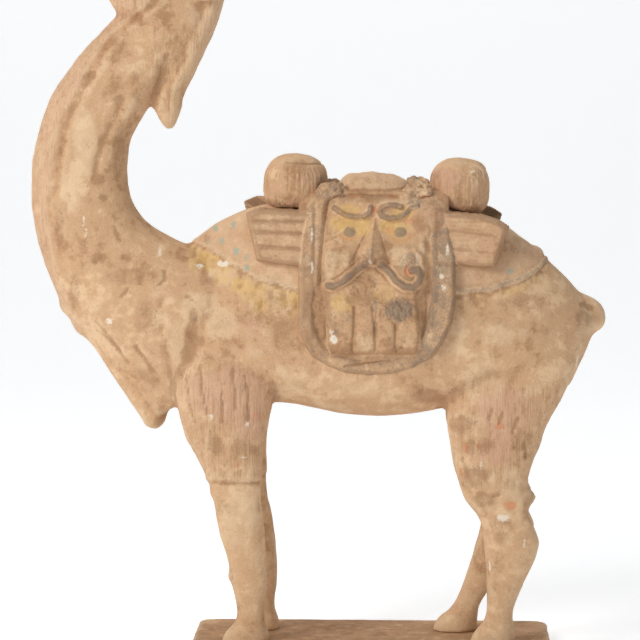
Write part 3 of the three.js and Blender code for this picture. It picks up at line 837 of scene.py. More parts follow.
def camel_skin(material):
    solids = [trunk(), neck(), *skull(), lock(NAPE_LOCK), lock(BREAST_LOCK), lock(TAIL_STUMP)]
    for side in (NEAR, FAR):
        solids += [leg(FORELEG, side), leg(HIND_LEG, side), ear(side)]
        solids += [head_ball(43, 17.5, side * 14, (11, 6, 4.5)), head_ball(45, 10.5, side * 17.5, (6, 3.5, 5))]
    solids += [head_ball(17, 22, 0, (16, 11, 9))]
    lump = BACK_LUMP
    solids += [ball((lump["x"], lump["y"], lump["z"]), lump["radii"])]
    points, quads = melted(solids, 1.95)
    links = neighbours_of(quads)
    points = relaxed(points, links, 4)
    # Fillets where parts join: hollows are eased further than the rest
    normals = normals_of(points, quads)
    hollow = ((relaxed(points, links, 12) - points) * normals).sum(axis=1)
    fillet = relaxed(ramp(hollow, 0.15, 0.6), links, 6)[:, None]
    points = points + fillet * (relaxed(points, links, 24) - points)
    normals = relaxed(normals_of(points, quads), links, 2)
    rise, finish = skin_relief(points, normals)
    points = points + normals * (rise - 0.25)[:, None]
    low, high = (np.array(corner) / MM for corner in cad_box)
    points = np.clip(points, low, high)
    finish = hollows_shaded_and_rubbed(points, quads, links, finish)
    return piece("camel_body", points, quads, NO_TRIANGLES, finish, material)


# The pack: a mask pouch between boards, tied on by a band. Places on it are (x from PACK_X, z).

POUCH_LEFT = [
    (-29, 226), (-31.5, 231), (-33.5, 238), (-33, 255), (-34, 267), (-38, 280), (-38.7, 292), (-38, 307.5),
    (-36.5, 323), (-34, 335), (-33, 350),
]
POUCH_RIGHT = [
    (29, 226), (33.5, 232), (35.5, 238), (35.5, 253), (34, 263), (33, 272), (36, 277), (39.5, 284),
    (40.5, 296), (40.5, 309), (40, 327), (38, 340), (37, 350),
]
POUCH_BOTTOM = 229.5
POUCH_BULGE = 3
BACKING = {"half": 55, "bottom": 214.5, "top": 352, "corner": 46, "inset": 5.5}
# x, z, half width of the band, down the fore side, round below and up the aft side
BAND = [
    (-37.5, 345, 3.5),
    (-42.5, 337, 6),
    (-44.5, 326, 7.5),
    (-45.8, 312, 7.6),
    (-46.5, 298, 7.4),
    (-47.5, 284, 6.6),
    (-49.5, 268, 5),
    (-50, 252, 4.8),
    (-46, 239.5, 5),
    (-40.5, 231, 5),
    (-31.5, 225, 4.8),
    (-20, 220.5, 4.6),
    (-4, 218.5, 4.5),
    (14, 219.5, 4.6),
    (29, 223.5, 5.2),
    (39, 231.5, 6.4),
    (46, 243, 7.2),
    (50.7, 256, 8),
    (52.7, 270, 8.4),
    (52.8, 288, 8),
    (52.6, 302, 8.2),
    (50.6, 314, 7.2),
    (49.5, 325, 6.6),
    (46, 335, 7),
    (40, 343, 6),
]
# Board outlines, turning one way, in real x and z; the planks' seams; how far the grain stands out
BOARDS = {
    "fore": {
        "outline": [(-44, 334), (-62, 335), (-83, 335.5), (-91.5, 332), (-83, 296.5), (-66, 296), (-44, 292)],
        "seams": [((-90, 327.5), (-48, 327.5)), ((-87.5, 320), (-48, 318.5)), ((-84, 309.5), (-48, 307))],
        "grain": 0.12,
    },
    "aft": {
        "outline": [
            (49, 334.5), (80, 331.5), (93, 327.5), (100, 323), (92, 299), (88.5, 292), (74, 294.5), (49, 293.5),
        ],
        "seams": [((54, 322), (92, 317)), ((56, 308), (94, 304.5))],
        "grain": 0.4,
    },
}
BOARD_FACE = {"top": 334.5, "top_y": 33, "bottom": 292, "bottom_y": 44, "proud": 1.6}
FAR_BOARD_SHIFT = (-4, 7)
MASK = {
    "brows": [
        [(-29.5, 337.5), (-25, 334.5), (-20.5, 332.3), (-14.5, 331.5), (-7.5, 331.5), (-3, 334), (-2.5, 338)],
        [(20, 338.5), (15, 339.8), (10, 339.6), (6, 338), (4, 335), (6, 332), (11.5, 330), (17.5, 330.5),
         (23.5, 333.5), (27.5, 337), (33, 338.5)],
    ],
    "eyes": [(-17.5, 320), (20.5, 320)],
    "lids": [
        [(-25.5, 319.5), (-22, 323), (-18, 325), (-13, 323.2), (-9.5, 319.5)],
        [(11.5, 319.5), (15, 323.5), (20, 325.3), (26, 323.5), (29.5, 319)],
    ],
    "lower_lids": [
        [(-25, 318.5), (-21, 315.5), (-16.5, 314.8), (-12, 316.5)],
        [(12, 316.5), (18.5, 313.8), (25, 314.6), (29, 318)],
    ],
    "moustache": [
        [(-6, 297), (-10.5, 294), (-15.5, 290), (-22, 284.5), (-29, 280.5), (-33, 281)],
        [(6, 296), (10, 293.5), (13.5, 290), (17, 285), (23.5, 280.5), (30, 279.8), (34.5, 283.5), (36, 289),
         (33.5, 293), (29, 292.5)],
    ],
    "cheek_ring": [(13.5, 305), (19.5, 308.5), (30, 309.5), (36.5, 303.5), (38.5, 293)],
    "beard_seams": [
        [(-13.5, 265), (-13.5, 250), (-15.5, 229)],
        [(0, 265), (2, 250), (2.5, 229)],
        [(17.5, 252), (17.5, 229)],
    ],
    "crack": [(-21, 219.5), (-8.5, 222.5), (3.5, 225.5), (14, 229.5), (22.5, 235)],
    "rim": [(-32, 341.5), (-21, 343), (-1, 342.3), (18, 341.7), (34, 340.5)],
    "rim_crease": [(-24, 345.3), (-11, 346.3), (-1.5, 345), (9, 345.4), (19, 344.8)],
}
# Patches on the pack's near face: finish, amount, x, z, half size x, half size z
PACK_PATCHES = [
    ("grey", 0.9, 20, 263, 12, 9),
    ("earth_and_shade", 0.5, 20, 263, 14, 10),
    ("grey", 0.5, -20, 258, 6, 5),
    ("grey", 0.5, -27, 248, 4, 4),
    ("grey", 0.7, 2, 266, 2.5, 6),
    ("grey", 0.45, 2, 250, 1.5, 10),
    ("grey", 0.55, -2, 305, 4, 8),
    ("grey", 0.5, 28, 299, 8, 7),
    ("grey", 0.6, 31, 344, 7, 6),
    ("pale", 0.9, -33, 296, 5, 15),
    ("pale", 0.6, -24, 301, 9, 8),
    ("pale", 0.8, -31, 258, 3, 12),
    ("pale", 0.5, -6, 238, 7, 9),
    ("pale", 0.5, 20, 305, 8, 4),
    ("pale", 0.4, 24, 240, 9, 7),
    ("ochre", 0.8, -24, 327, 11, 6),
    ("ochre", 0.8, -8, 325, 7, 8),
    ("ochre", 0.7, 12, 325, 9, 6),
    ("ochre", 0.6, 22, 334, 10, 6),
    ("ochre", 0.7, -18, 336, 10, 5),
    ("ochre", 0.5, -22, 268, 12, 9),
    ("ochre", 0.5, 9, 275, 8, 8),
    ("orange", 0.8, 0.5, 336.5, 2.4, 3.2),
    ("orange", 0.5, 13, 322, 5, 3),
    ("orange", 0.8, 27, 291.5, 4, 4),
    ("orange", 0.6, 14, 345, 4, 1.6),
    ("orange", 0.5, -13, 345.5, 5, 1.2),
    ("orange", 0.6, 30, 301, 3, 3),
    ("orange", 0.4, 26, 328, 10, 2.5),
    ("earth_and_shade", 0.9, -5, 284, 8, 7),
    ("earth_and_shade", 0.7, -8, 272, 14, 8),
    ("earth_and_shade", 0.8, -8, 298, 7, 6),
    ("earth_and_shade", 0.6, 8, 300, 5, 5),
    ("earth_and_shade", 0.7, 22, 232, 14, 4),
    ("earth_and_shade", 0.7, -22, 229, 12, 4),
    ("earth_and_shade", 0.9, -44, 262, 12, 26),
    ("earth_and_shade", 0.6, 34, 326, 6, 8),
    ("earth_and_shade", 0.5, 10, 310, 5, 5),
    ("white", 1.0, -29, 241, 3.2, 3.8),
    ("white", 0.5, -31, 247, 2, 3),
    ("white", 0.8, -45.5, 294, 1.2, 5),
    ("white", 0.7, -46, 318, 1.0, 6),
    ("white", 0.7, 55.5, 307, 1.6, 5),
    ("white", 0.7, 51.5, 288, 2, 2.4),
    ("white", 0.5, 53, 280, 2, 4),
    ("white", 0.5, -2, 299, 1.5, 2),
    ("white", 0.4, -9, 302, 1.4, 4),
    ("white", 0.4, 33, 300, 1.4, 6),
]
FACE_STEP = 0.62  # mm between the points of the pack's face
WALL_DROP = 7  # mm that the pack's edge goes straight in before it closes towards the middle


def flank_of(z):
    """Half width of the pack at height z, on a smooth curve through its stations."""
    rows = smooth_rows(PACK_SIDE, 6)
    return np.interp(z, rows[:, 0], rows[:, 1])


def trunk_side(x, z):
    """Half width of the bare trunk at a place in the side view: its squared ring solved for y."""
    back, belly, half = (column(TRUNK, x, 0, want) for want in (1, 2, 3))
    up = (z - (back + belly) / 2) / ((back - belly) / 2)
    across = np.clip(1 - np.abs(up) ** TRUNK_FULLNESS, 0, 1) ** (1 / TRUNK_FULLNESS)
    return half * across * (1 - TRUNK_TAPER * up)


def fall(outside, slope, soft=0.7):
    """How far a surface has dropped at a distance outside its edge: a soft corner, then a straight slope."""
    return slope * soft * np.log1p(np.exp(np.clip(outside / soft, -30, 30)))


def inside_of(u, z, outline):
    """Distance outside a convex outline, negative inside: the greatest distance past any of its sides."""
    corners = np.array(outline, float)
    ahead = np.roll(corners, -1, axis=0)
    centre = corners.mean(axis=0)
    furthest = np.full(u.shape, -1e9)
    for (u0, z0), (u1, z1) in zip(corners, ahead):
        out = np.array([z1 - z0, u0 - u1]) / math.hypot(u1 - u0, z1 - z0)
        if out @ (centre - (u0, z0)) > 0:
            out = -out
        furthest = np.maximum(furthest, (u - u0) * out[0] + (z - z0) * out[1])
    return furthest


def band_across(u, z):
    """Distance from the band's middle, and its half width there, each from the nearest stretch."""
    nearest = np.full(u.shape, 1e9)
    width = np.full(u.shape, 5.0)
    for (u0, z0, w0), (u1, z1, w1) in zip(BAND[:-1], BAND[1:]):
        length2 = (u1 - u0) ** 2 + (z1 - z0) ** 2
        t = np.clip(((u - u0) * (u1 - u0) + (z - z0) * (z1 - z0)) / length2, 0, 1)
        away = np.hypot(u - u0 - t * (u1 - u0), z - z0 - t * (z1 - z0))
        closer = away < nearest
        nearest = np.where(closer, away, nearest)
        width = np.where(closer, w0 + (w1 - w0) * t, width)
    return nearest, width


def mask_relief(u, z, grain, finish, side):
    """The mask's height over the pouch, in mm: brows, eyes, nose, cheeks, moustache and a combed beard."""
    face = 0 * u
    for path in MASK["brows"]:
        away = distance_to(u, z, path)
        rib = 1 - ramp(away, 1.0, 3.0)
        face += 3.0 * rib
        finish["grey"] += 0.9 * rib * (0.75 + 0.5 * grain)
    for eye_u, eye_z in MASK["eyes"]:
        socket = spot(u, z, (eye_u, eye_z, 13, 8.5))
        pupil = np.hypot((u - eye_u) / 4.9, (z - eye_z) / 3.9)
        face += -3.4 * socket + 3.6 * np.sqrt(np.clip(1 - (pupil / 1.3) ** 2, 0, 1))
        face -= 0.9 * swell(pupil - 1.34, 0.16)
        finish["grey"] += 0.95 * (1 - ramp(pupil, 0.8, 1.1))
        finish["ochre"] += 0.5 * socket
    for path in MASK["lids"]:
        lid = distance_to(u, z, path)
        face += 1.5 * swell(lid, 1.0)
        finish["pale"] += 0.5 * swell(lid, 1.0)
    for path in MASK["lower_lids"]:
        lid = distance_to(u, z, path)
        face += 1.3 * swell(lid, 1.1)
        finish["orange"] += 0.5 * swell(lid, 1.1)
    # The nose: two flat sides up to a ridge, wider and higher towards its wings
    down = np.clip((328 - z) / 32, 0, 1)
    half = 1.2 + 12 * down**0.95
    ridge_u = 1.2 - 3.2 * down
    lean = np.abs(u - ridge_u * (1 - down * 0.3)) / half
    on_nose = (z < 330) * (1 - ramp(-z, -297.5, -295))
    nose = np.clip(1 - lean, 0, 1) ** 0.75 * (1.5 + 8.5 * down) * on_nose
    face = np.maximum(face, nose - 0.6)
    face -= 1.5 * swell(lean - 1.12, 0.12) * on_nose * ramp(down, 0.15, 0.4)
    # earth and painted shade along the foot of the nose's sides
    finish["earth_and_shade"] += 0.4 * swell(lean - 1.1, 0.15) * on_nose * ramp(down, 0.15, 0.4)
    for wing in (-7.5, 8):
        face += 1.0 * spot(u, z, (wing, 299.5, 4.2, 3.8))
        face -= 1.6 * swell(np.hypot((u - wing * 0.72) / 1.3, z - 297), 1.6)
    finish["pale"] += 0.5 * swell(lean, 0.25) * on_nose * (z < 322)
    # Cheeks: the fore one is a smooth dome, the aft one a squarer knob with a raised rim
    face += 3.6 * spot(u, z, (-25.5, 297, 13, 14))
    face += 2.6 * spot(u, z, (26, 295, 12.5, 14.5))
    ring = distance_to(u, z, MASK["cheek_ring"])
    face += 1.4 * swell(ring, 1.7)
    finish["pale"] += 0.55 * swell(ring, 1.5)
    for path, strength in zip(MASK["moustache"], (0.75, 1.0)):
        away = distance_to(u, z, path)
        rib = 1 - ramp(away, 1.2, 3.4)
        face += 3.4 * strength * rib - 1.2 * swell(away - 4.0, 1.0)
        finish["grey"] += 1.1 * rib * (0.8 + 0.6 * grain)
        finish["earth_and_shade"] += 0.4 * rib
    # The beard: four locks side by side, under a worn mouth
    beard = 1 - ramp(z, 262, 276)
    face += 1.8 * beard
    for path in MASK["beard_seams"]:
        away = distance_to(u, z, path)
        face -= 1.9 * swell(away, 0.9) + 1.0 * swell(away, 3.5)
        # earth and painted shade in the seams
        finish["earth_and_shade"] += 0.5 * swell(away, 1.2)
    mouth = spot(u, z, (-4, 281, 12, 9))
    face -= 1.4 * mouth
    rim = distance_to(u, z, MASK["rim"])
    face += 1.5 * swell(rim, 2.0)
    finish["pale"] += 0.5 * swell(rim, 1.6)
    crease = swell(distance_to(u, z, MASK["rim_crease"]), 1.1)
    face -= 2.4 * crease
    # earth and painted shade in the crease
    finish["earth_and_shade"] += 0.9 * crease
    # Furrows that run from the fore eye over the temple
    for path in ([(-37, 317), (-30, 317.5), (-24, 321)], [(-36, 311), (-30, 314), (-26, 316)]):
        face -= 0.5 * swell(distance_to(u, z, path), 0.8)
    return face


def pack_face(x, z, side):
    """Half width of the pack's face at each place, the distance outside its parts, and its finishes."""
    flat = np.stack([x, np.full_like(x, 40.0 * side), z], axis=1)
    seed = 100 if side == NEAR else 140
    slow, grain, fine = (layered(flat, size, seed + k) for k, size in enumerate((14, 5, 2.2)))
    finish = {name: np.zeros(len(x)) for name in FINISHES}
    skin = flank_of(z)
    seen_x, seen_z = side_view(x, skin, z)
    u, z = seen_x + 0.035 * skin - PACK_X, seen_z + 0.087 * skin

    # Caked earth over the backing
    corner = BACKING["corner"]
    far_u = np.maximum(np.abs(u) - (BACKING["half"] - corner), 0)
    far_z = np.maximum(BACKING["bottom"] + corner - z, 0)
    off_backing = np.hypot(far_u, far_z) - corner
    crust_here = spot(u, z, (-44, 258, 16, 30))
    backing = skin - BACKING["inset"] + 0.6 * slow + 0.45 * grain
    backing += crust_here * (1.2 + 1.5 * grain + 0.9 * fine)
    backing += 2.2 * spot(u, z, (42, 305, 4, 24))
    backing -= 2.0 * swell(distance_to(u, z, [(41, 277), (41.3, 262), (38.5, 240)]), 1.3)
    face = backing - fall(off_backing, 0.9, 1.6)
    finish["earth_and_shade"] += 0.45 + 0.3 * grain
    finish["earth_and_shade"] += crust_here * 0.3

    # The band: hollowed between two thin raised edges, flatter and half buried below
    away, width = band_across(u, z)
    across = away / width
    low = 1 - ramp(z, 224, 252)
    buried = spot(u, z, (-48, 272, 10, 14))
    aft = ramp(u, 20, 34)
    height = 5.6 - 3.0 * low - 2.6 * buried
    hollow = 1.3 * (1 - across**2) * (across < 1) * (1 - 0.7 * low) * aft
    fold = 0.9 * swell(u + 43.5, 1.6) * (1 - aft) * (1 - low)
    band = skin - BACKING["inset"] + height - hollow - fold + 0.35 * slow + 0.25 * grain
    band -= fall(away - width + 0.6, 3.2 - 1.4 * low, 0.6)
    on_band = ramp(band - face, -0.2, 0.5)
    face = np.maximum(face, band)
    for name in finish:
        finish[name] *= 1 - 0.8 * on_band
    finish["grey"] += on_band * (0.25 + 0.35 * aft + 0.2 * slow)
    finish["pale"] += on_band * 0.6 * swell(across - 0.92, 0.12)
    finish["pale"] += on_band * 0.35 * (1 - aft)

    # The pouch
    off_pouch = np.maximum(u - column(POUCH_RIGHT, z, 1, 0), column(POUCH_LEFT, z, 1, 0) - u)
    off_pouch = np.maximum(off_pouch, POUCH_BOTTOM - z)
    mask_finish = {name: np.zeros(len(x)) for name in FINISHES}
    worn = spot(u, z, (20, 262, 14, 10)) + 0.6 * spot(u, z, (-5, 281, 13, 9))
    worn = np.maximum(worn, 0.7 * spot(u, z, (-9, 299, 8, 6))) if side == NEAR else 0.3 * worn
    pouch = skin + POUCH_BULGE * np.clip(1 - (u / 40) ** 2, 0, 1) - 0.6
    pouch += mask_relief(u, z, grain, mask_finish, side)
    pouch += 0.5 * slow + 0.45 * grain + 0.28 * fine
    pouch += worn * (1.3 * grain + 1.2 * fine - 0.8)
    pouch -= fall(off_pouch + 0.6, 3.2, 0.8)
    on_pouch = ramp(pouch - face, -0.2, 0.5)
    face = np.maximum(face, pouch)
    for name in finish:
        finish[name] = finish[name] * (1 - on_pouch) + mask_finish[name] * on_pouch

    # A fold of the band laps the pouch's aft corner
    lap = skin + 3.4 - fall(np.hypot((u - 38) / 1.25, (z - 332)) - 8.5, 0.8, 1.4) + 0.3 * slow
    on_lap = ramp(lap - face, -0.2, 0.6)
    face = np.maximum(face, lap)
    finish["grey"] *= 1 - 0.7 * on_lap
    finish["pink"] += 0.4 * on_lap

    # Boards: slanting planks with worn edges
    shift = FAR_BOARD_SHIFT if side == FAR else (0, 0)
    climb = (z - shift[1] - BOARD_FACE["bottom"]) / (BOARD_FACE["top"] - BOARD_FACE["bottom"])
    slant = BOARD_FACE["bottom_y"] + (BOARD_FACE["top_y"] - BOARD_FACE["bottom_y"]) * climb
    off_boards = np.full_like(x, 1e9)
    for shape in BOARDS.values():
        bx, bz = x - shift[0], z - shift[1]
        off = inside_of(bx, bz, shape["outline"])
        wood = layered(flat, (16, 16, 1.7), seed + 9, 2)
        board = slant + BOARD_FACE["proud"] + shape["grain"] * wood + 0.3 * slow + 0.2 * fine
        joint = sum(swell(distance_to(bx, bz, seam), 0.75) for seam in shape["seams"])
        board -= 1.7 * joint * (1.0 if shape["grain"] < 0.2 else 0.25)
        board -= fall(off + 1.0, 4.5, 0.45)
        on_board = ramp(board - face, -0.2, 0.5)
        face = np.maximum(face, board)
        for name in finish:
            finish[name] *= 1 - on_board
        finish["earth_and_shade"] += on_board * (0.75 * joint + 0.1)
        finish["pale"] += on_board * (0.45 if shape["grain"] < 0.2 else 0.2)
        finish["pink"] += on_board * 0.35
        finish["pale"] += on_board * 0.5 * swell(off + 1.2, 1.0)
        # painted shadow round each board's edge, where it stands off the pack
        finish["earth_and_shade"] += 0.9 * swell(off - 1.6, 1.4)
        off_boards = np.minimum(off_boards, off)

    if side == NEAR:
        for name, amount, *place in PACK_PATCHES:
            finish[name] += amount * spot(u, z, place)
        crack = swell(distance_to(u, z, MASK["crack"]), 0.8)
        face -= 1.6 * crack
        # earth and painted shade in the crack
        finish["earth_and_shade"] += crack
    outside = np.minimum(np.minimum(off_backing, off_boards), np.minimum(off_pouch, away - width))
    return face, outside, finish


def pack_side(side, material):
    """One face of the pack on a grid of x and z, walled in round its edge and closed towards the middle."""
    x = np.arange(-103, 108, FACE_STEP)
    z = np.arange(208, 349.5, FACE_STEP)
    grid_x, grid_z = (part.ravel() for part in np.meshgrid(x, z, indexing="ij"))
    face, outside, finish = pack_face(grid_x, grid_z, side)
    points = np.stack([grid_x, side * face, grid_z], axis=1)
    here = (np.arange(len(x) - 1)[:, None] * len(z) + np.arange(len(z) - 1)).ravel()
    quads = np.stack([here, here + 1, here + len(z) + 1, here + len(z)], axis=1)
    hidden = face < trunk_side(grid_x, grid_z) - 2.5
    kept = (outside[quads].min(axis=1) < 0.9) & ~hidden[quads].all(axis=1)
    quads = quads[kept]

    # Its open edge, as the edges that one face alone has
    start = quads.ravel()
    end = np.roll(quads, -1, axis=1).ravel()
    forward = start * len(points) + end
    backward = end * len(points) + start
    open_edge = ~np.isin(forward, backward)
    start, end = start[open_edge], end[open_edge]
    rim, place = np.unique(np.concatenate([start, end]), return_inverse=True)
    first, second = place[: len(start)] + len(points), place[len(start):] + len(points)
    inner = points[rim].copy()
    inner[:, 1] = side * np.maximum(np.abs(inner[:, 1]) - WALL_DROP, 4)
    middle = len(points) + len(rim)
    walls = np.stack([end, start, first, second], axis=1)
    cone = np.stack([second, first, np.full(len(first), middle)], axis=1)
    every = np.vstack([points, inner, [[PACK_X, side * 2, 282]]])
    for name in finish:
        finish[name] = np.concatenate([finish[name], finish[name][rim], [0.0]])
    # painted shade on the walls, darker inward
    finish["earth_and_shade"][len(points):] += 0.4

    # Only the points that a face uses
    quads = np.vstack([quads, walls])
    used, packed = np.unique(np.concatenate([quads.ravel(), cone.ravel()]), return_inverse=True)
    every = every[used]
    quads, cone = packed[: quads.size].reshape(-1, 4), packed[quads.size:].reshape(-1, 3)
    finish = {name: amount[used] for name, amount in finish.items()}
    finish = hollows_shaded_and_rubbed(every, quads, neighbours_of(quads), finish)
    name = "pack_near" if side == NEAR else "pack_far"
    return piece(name, every, quads, cone, finish, material)


def hump(name, material):
    """A squared dome: girth and height are the tilt's cosine and sine to 2 / fullness, with combed sides."""
    shape = HUMPS[name]
    levels, sides = 110, 190
    tilt = (np.arange(1, levels) / levels - 0.5)[:, None] * np.pi
    girth = np.cos(tilt) ** (2 / HUMP_FULLNESS)
    climb = np.sign(tilt) * np.abs(np.sin(tilt)) ** (2 / HUMP_FULLNESS)
    _, out, across = squared_ring(sides, 2.2)
    x = shape["x"] + shape["length"] * girth * out
    y = shape["width"] * girth * across
    z = shape["z"] + shape["height"] * climb + 0 * out
    rings = np.stack([x, y, z], axis=-1)
    points, quads, fans = closed_tube(rings)
    middle = np.array([shape["x"], 0, shape["z"]])
    away = (points - middle) / (np.array([shape["length"], shape["width"], shape["height"]]) ** 2)
    away /= np.linalg.norm(away, axis=1, keepdims=True)
    seed = 200 if name == "hump_front" else 240
    v = points[:, 2] - shape["z"]
    sides_only = 1 - ramp(v, 10, 19)
    strands = layered(points, (2.3, 2.3, 17), seed, 2)
    rise = 0.6 * layered(points, 15, seed + 1, 2) + 0.2 * layered(points, 4, seed + 2, 2)
    rise += 0.5 * strands * sides_only
    finish = {key: np.zeros(len(points)) for key in FINISHES}
    finish["combed"] += sides_only
    finish["pink"] += 0.75 * sides_only * ramp(layered(points, 12, seed + 3), -0.5, 0.5)
    finish["pale"] += 0.5 * ramp(strands, 0.1, 0.7) * sides_only + 0.3 * ramp(v, 10, 20)
    # earth and painted shade between the strands
    finish["earth_and_shade"] += 0.35 * ramp(-strands, 0.1, 0.7) * sides_only
    # painted shade low on the dome, and patches of earth
    finish["earth_and_shade"] += 0.8 * (1 - ramp(v, -20, -9)) + 0.3 * ramp(layered(points, 9, seed + 4), 0.15, 0.6)
    if name == "hump_front":
        # A crack that runs level below the crown, with earth and painted shade in it, and a grey stain on the aft
        # corner
        crack = swell(v - 17.2 + 0.05 * (points[:, 0] - shape["x"]), 0.7) * (points[:, 0] > shape["x"] - 7)
        rise -= 0.8 * crack
        finish["earth_and_shade"] += 0.7 * crack
        finish["grey"] += 0.7 * spot(points[:, 0], points[:, 2], (-36, 352, 4, 9))
    else:
        chips = layered(points, 6, seed + 6, 2)
        crown = spot(points[:, 0], points[:, 2], (80, 362, 8, 9))
        rise += crown * 0.9 * ramp(chips, 0, 0.3)
        finish["white"] += 0.5 * crown * ramp(chips, 0.1, 0.4)
        finish["pink"] += 0.4 * spot(points[:, 0], points[:, 2], (52, 356, 9, 10))
    points = points + away * (rise - 0.5)[:, None]
    # The dome is drawn in under its foot, which slopes down aft on the back hump
    foot = -16.5
    if name == "hump_back":
        foot = np.interp(points[:, 0], [50, 60, 70, 88], [-11, -14.5, -17, -18.5])
    drawn_in = 1 - 0.3 * ramp(foot - v, 0, 1.8) - 0.25 * ramp(foot - v, 1.8, 6)
    points[:, :2] = middle[:2] + (points[:, :2] - middle[:2]) * drawn_in[:, None]
    # painted shadow and earth under the drawn-in foot
    finish["earth_and_shade"] += 0.8 * ramp(foot - v, -1.5, 0.5)
    finish = hollows_shaded_and_rubbed(points, quads, neighbours_of(quads), finish)
    return piece(name, points, quads, fans, finish, material)


def roll(material):
    """A roll of cloth across the back between the humps: squared rings with five soft swells along it."""
    stations, sides = 120, 150
    t = (np.arange(stations) + 0.5)[:, None] / stations * 2 - 1
    girth = np.sqrt(1 - np.abs(t) ** 4)
    swells = 0.35 * np.cos(t * 9 + 0.9) - 2.6 * ramp(t, 0.15, 0.75)
    _, across, up = squared_ring(sides, 2.2)
    x = PACK_X + ROLL["half_length"] * t + 0 * across
    y = (ROLL["width"] * girth) * across
    z = ROLL["z"] + (ROLL["height"] * girth + swells - 0.4) * up
    points, quads, fans = closed_tube(np.stack([x, y, z], axis=-1))
    normals = normals_of(points, quads)
    normals *= np.sign((normals * (points - [PACK_X, 0, ROLL["z"]])).sum(axis=1))[:, None]
    rise = 0.8 * layered(points, 9, 300) + 0.3 * layered(points, 3, 301, 2) - 0.4
    points = points + normals * rise[:, None]
    finish = {key: np.zeros(len(points)) for key in FINISHES}
    finish["pale"] += 0.5
    finish["pink"] += 0.2
    finish = hollows_shaded_and_rubbed(points, quads, neighbours_of(quads), finish)
    return piece("pack_roll", points, quads, fans, finish, material)


def knot(which, side, material):
    """A lumpy knot of the band: an ellipsoid pushed out and in along two sizes of noise."""
    shape = KNOTS[which]
    centre = np.array([shape["x"], side * shape["y"], shape["z"]])
    points, quads, fans = closed_tube(ball(centre, shape["radii"], 52))
    away = (points - centre) / (np.array(shape["radii"]) ** 2)
    away /= np.linalg.norm(away, axis=1, keepdims=True)
    seed = 320 + 10 * len(which) + side
    lumps = layered(points, 6, seed, 3)
    points = points + away * (3.2 * lumps + 0.7 * layered(points, 2.2, seed + 1, 2) - 0.9)[:, None]
    finish = {key: np.zeros(len(points)) for key in FINISHES}
    finish["grey"] += 0.5 + 0.3 * noise(points, 7, seed)
    finish["earth_and_shade"] += 0.35
    if which == "back":
        finish["grey"] *= 1 - ramp(points[:, 0], 33, 38)
        finish["orange"] += 0.8 * spot(points[:, 0], points[:, 2], (38, 343, 6, 3))
        finish["pale"] += 0.4 * ramp(points[:, 0], 33, 38)
    finish = hollows_shaded_and_rubbed(points, quads, neighbours_of(quads), finish)
    near_far = "near" if side == NEAR else "far"
    return piece(f"knot_{which}_{near_far}", points, quads, fans, finish, material)


def base_slab(material):
    """The low slab: rounded rectangles from the middle of its underside, up its edge, to its top's middle."""
    length, width, corner = SLAB["length"] / 2, SLAB["width"] / 2, SLAB["corner"]
    sides = 480
    angle = 2 * np.pi * np.arange(sides) / sides
    reach = np.stack([np.cos(angle) * length * 1.6, np.sin(angle) * width * 1.6], axis=1)
    box = np.clip(reach, [-(length - corner), -(width - corner)], [length - corner, width - corner])
    outward = reach - box
    outward /= np.linalg.norm(outward, axis=1, keepdims=True)
    edge = box + outward * corner
    top = SLAB["thickness"]
    # inset from the outline, height
    profile = [(d, 0) for d in (60, 40, 20, 8, 3, 1.2)]
    profile += [(0.3, 0.4), (0.05, 1.2)] + [(0.15 * k / 6, 1.2 + (top - 4) * k / 6) for k in range(1, 7)]
    profile += [(0.5, top - 1.7), (1.2, top - 0.7), (2.4, top - 0.15)]
    profile += [(d, top) for d in (4, 6, 9, 12, 15, 18, 22, 26, 30, 34, 38, 42, 46, 50, 54, 58)]
    rings = []
    for inset, height in profile:
        shrink = np.array([(length - inset) / length, (width - inset) / width])
        ring = edge * shrink
        rings.append(np.column_stack([ring, np.full(sides, float(height))]))
    points, quads, fans = closed_tube(np.array(rings))
    above = ramp(points[:, 2], 1.5, 4)
    rise = layered(points, (18, 18, 9), 400)
    rough = layered(points, 5, 401, 2)
    outward = np.column_stack([points[:, 0] / length, points[:, 1] / width, np.zeros(len(points))])
    on_edge = ramp(np.maximum(np.abs(outward[:, 0]), np.abs(outward[:, 1])), 0.93, 0.99)
    points[:, :2] -= np.sign(outward[:, :2]) * (above * on_edge * (0.5 + 0.5 * rise + 0.35 * rough))[:, None]
    points[:, 2] += ramp(points[:, 2], top - 3, top) * (0.35 * rise + 0.25 * rough - 0.55)
    finish = {key: np.zeros(len(points)) for key in FINISHES}
    finish["earth_and_shade"] += 0.45 + 0.35 * rise
    # earth and painted shade in a ring round each foot
    earth_and_shade_round_feet = np.zeros(len(points))
    for rows in (FORELEG, HIND_LEG):
        middle = (rows[-1][1] + rows[-1][2]) / 2
        for side in (NEAR, FAR):
            far_shift = (5.5 if rows is FORELEG else -28) if side == FAR else 0
            away_x = (points[:, 0] - middle - far_shift) / 19
            away = np.hypot(away_x, (points[:, 1] - side * 24.5) / 15.5)
            earth_and_shade_round_feet += swell(away - 1, 0.22)
    finish["earth_and_shade"] += 0.5 * earth_and_shade_round_feet
    finish["pale"] += 0.4 * ramp(rough, 0.1, 0.6)
    finish = hollows_shaded_and_rubbed(points, quads, neighbours_of(quads), finish)
    return piece("base_slab", points, quads, fans, finish, material)


# Clay, paint, earth and painted shade

def linear(red, green, blue):
    """A colour of 0 to 255 values as the linear colour that the shaders use."""
    return tuple(((part / 255 + 0.055) / 1.055) ** 2.4 for part in (red, green, blue)) + (1.0,)


def socket(group, name, kind, way, value=None):
    made = group.interface.new_socket(name, in_out=way, socket_type=kind)
    if value is not None:
        made.default_value = value
    return made


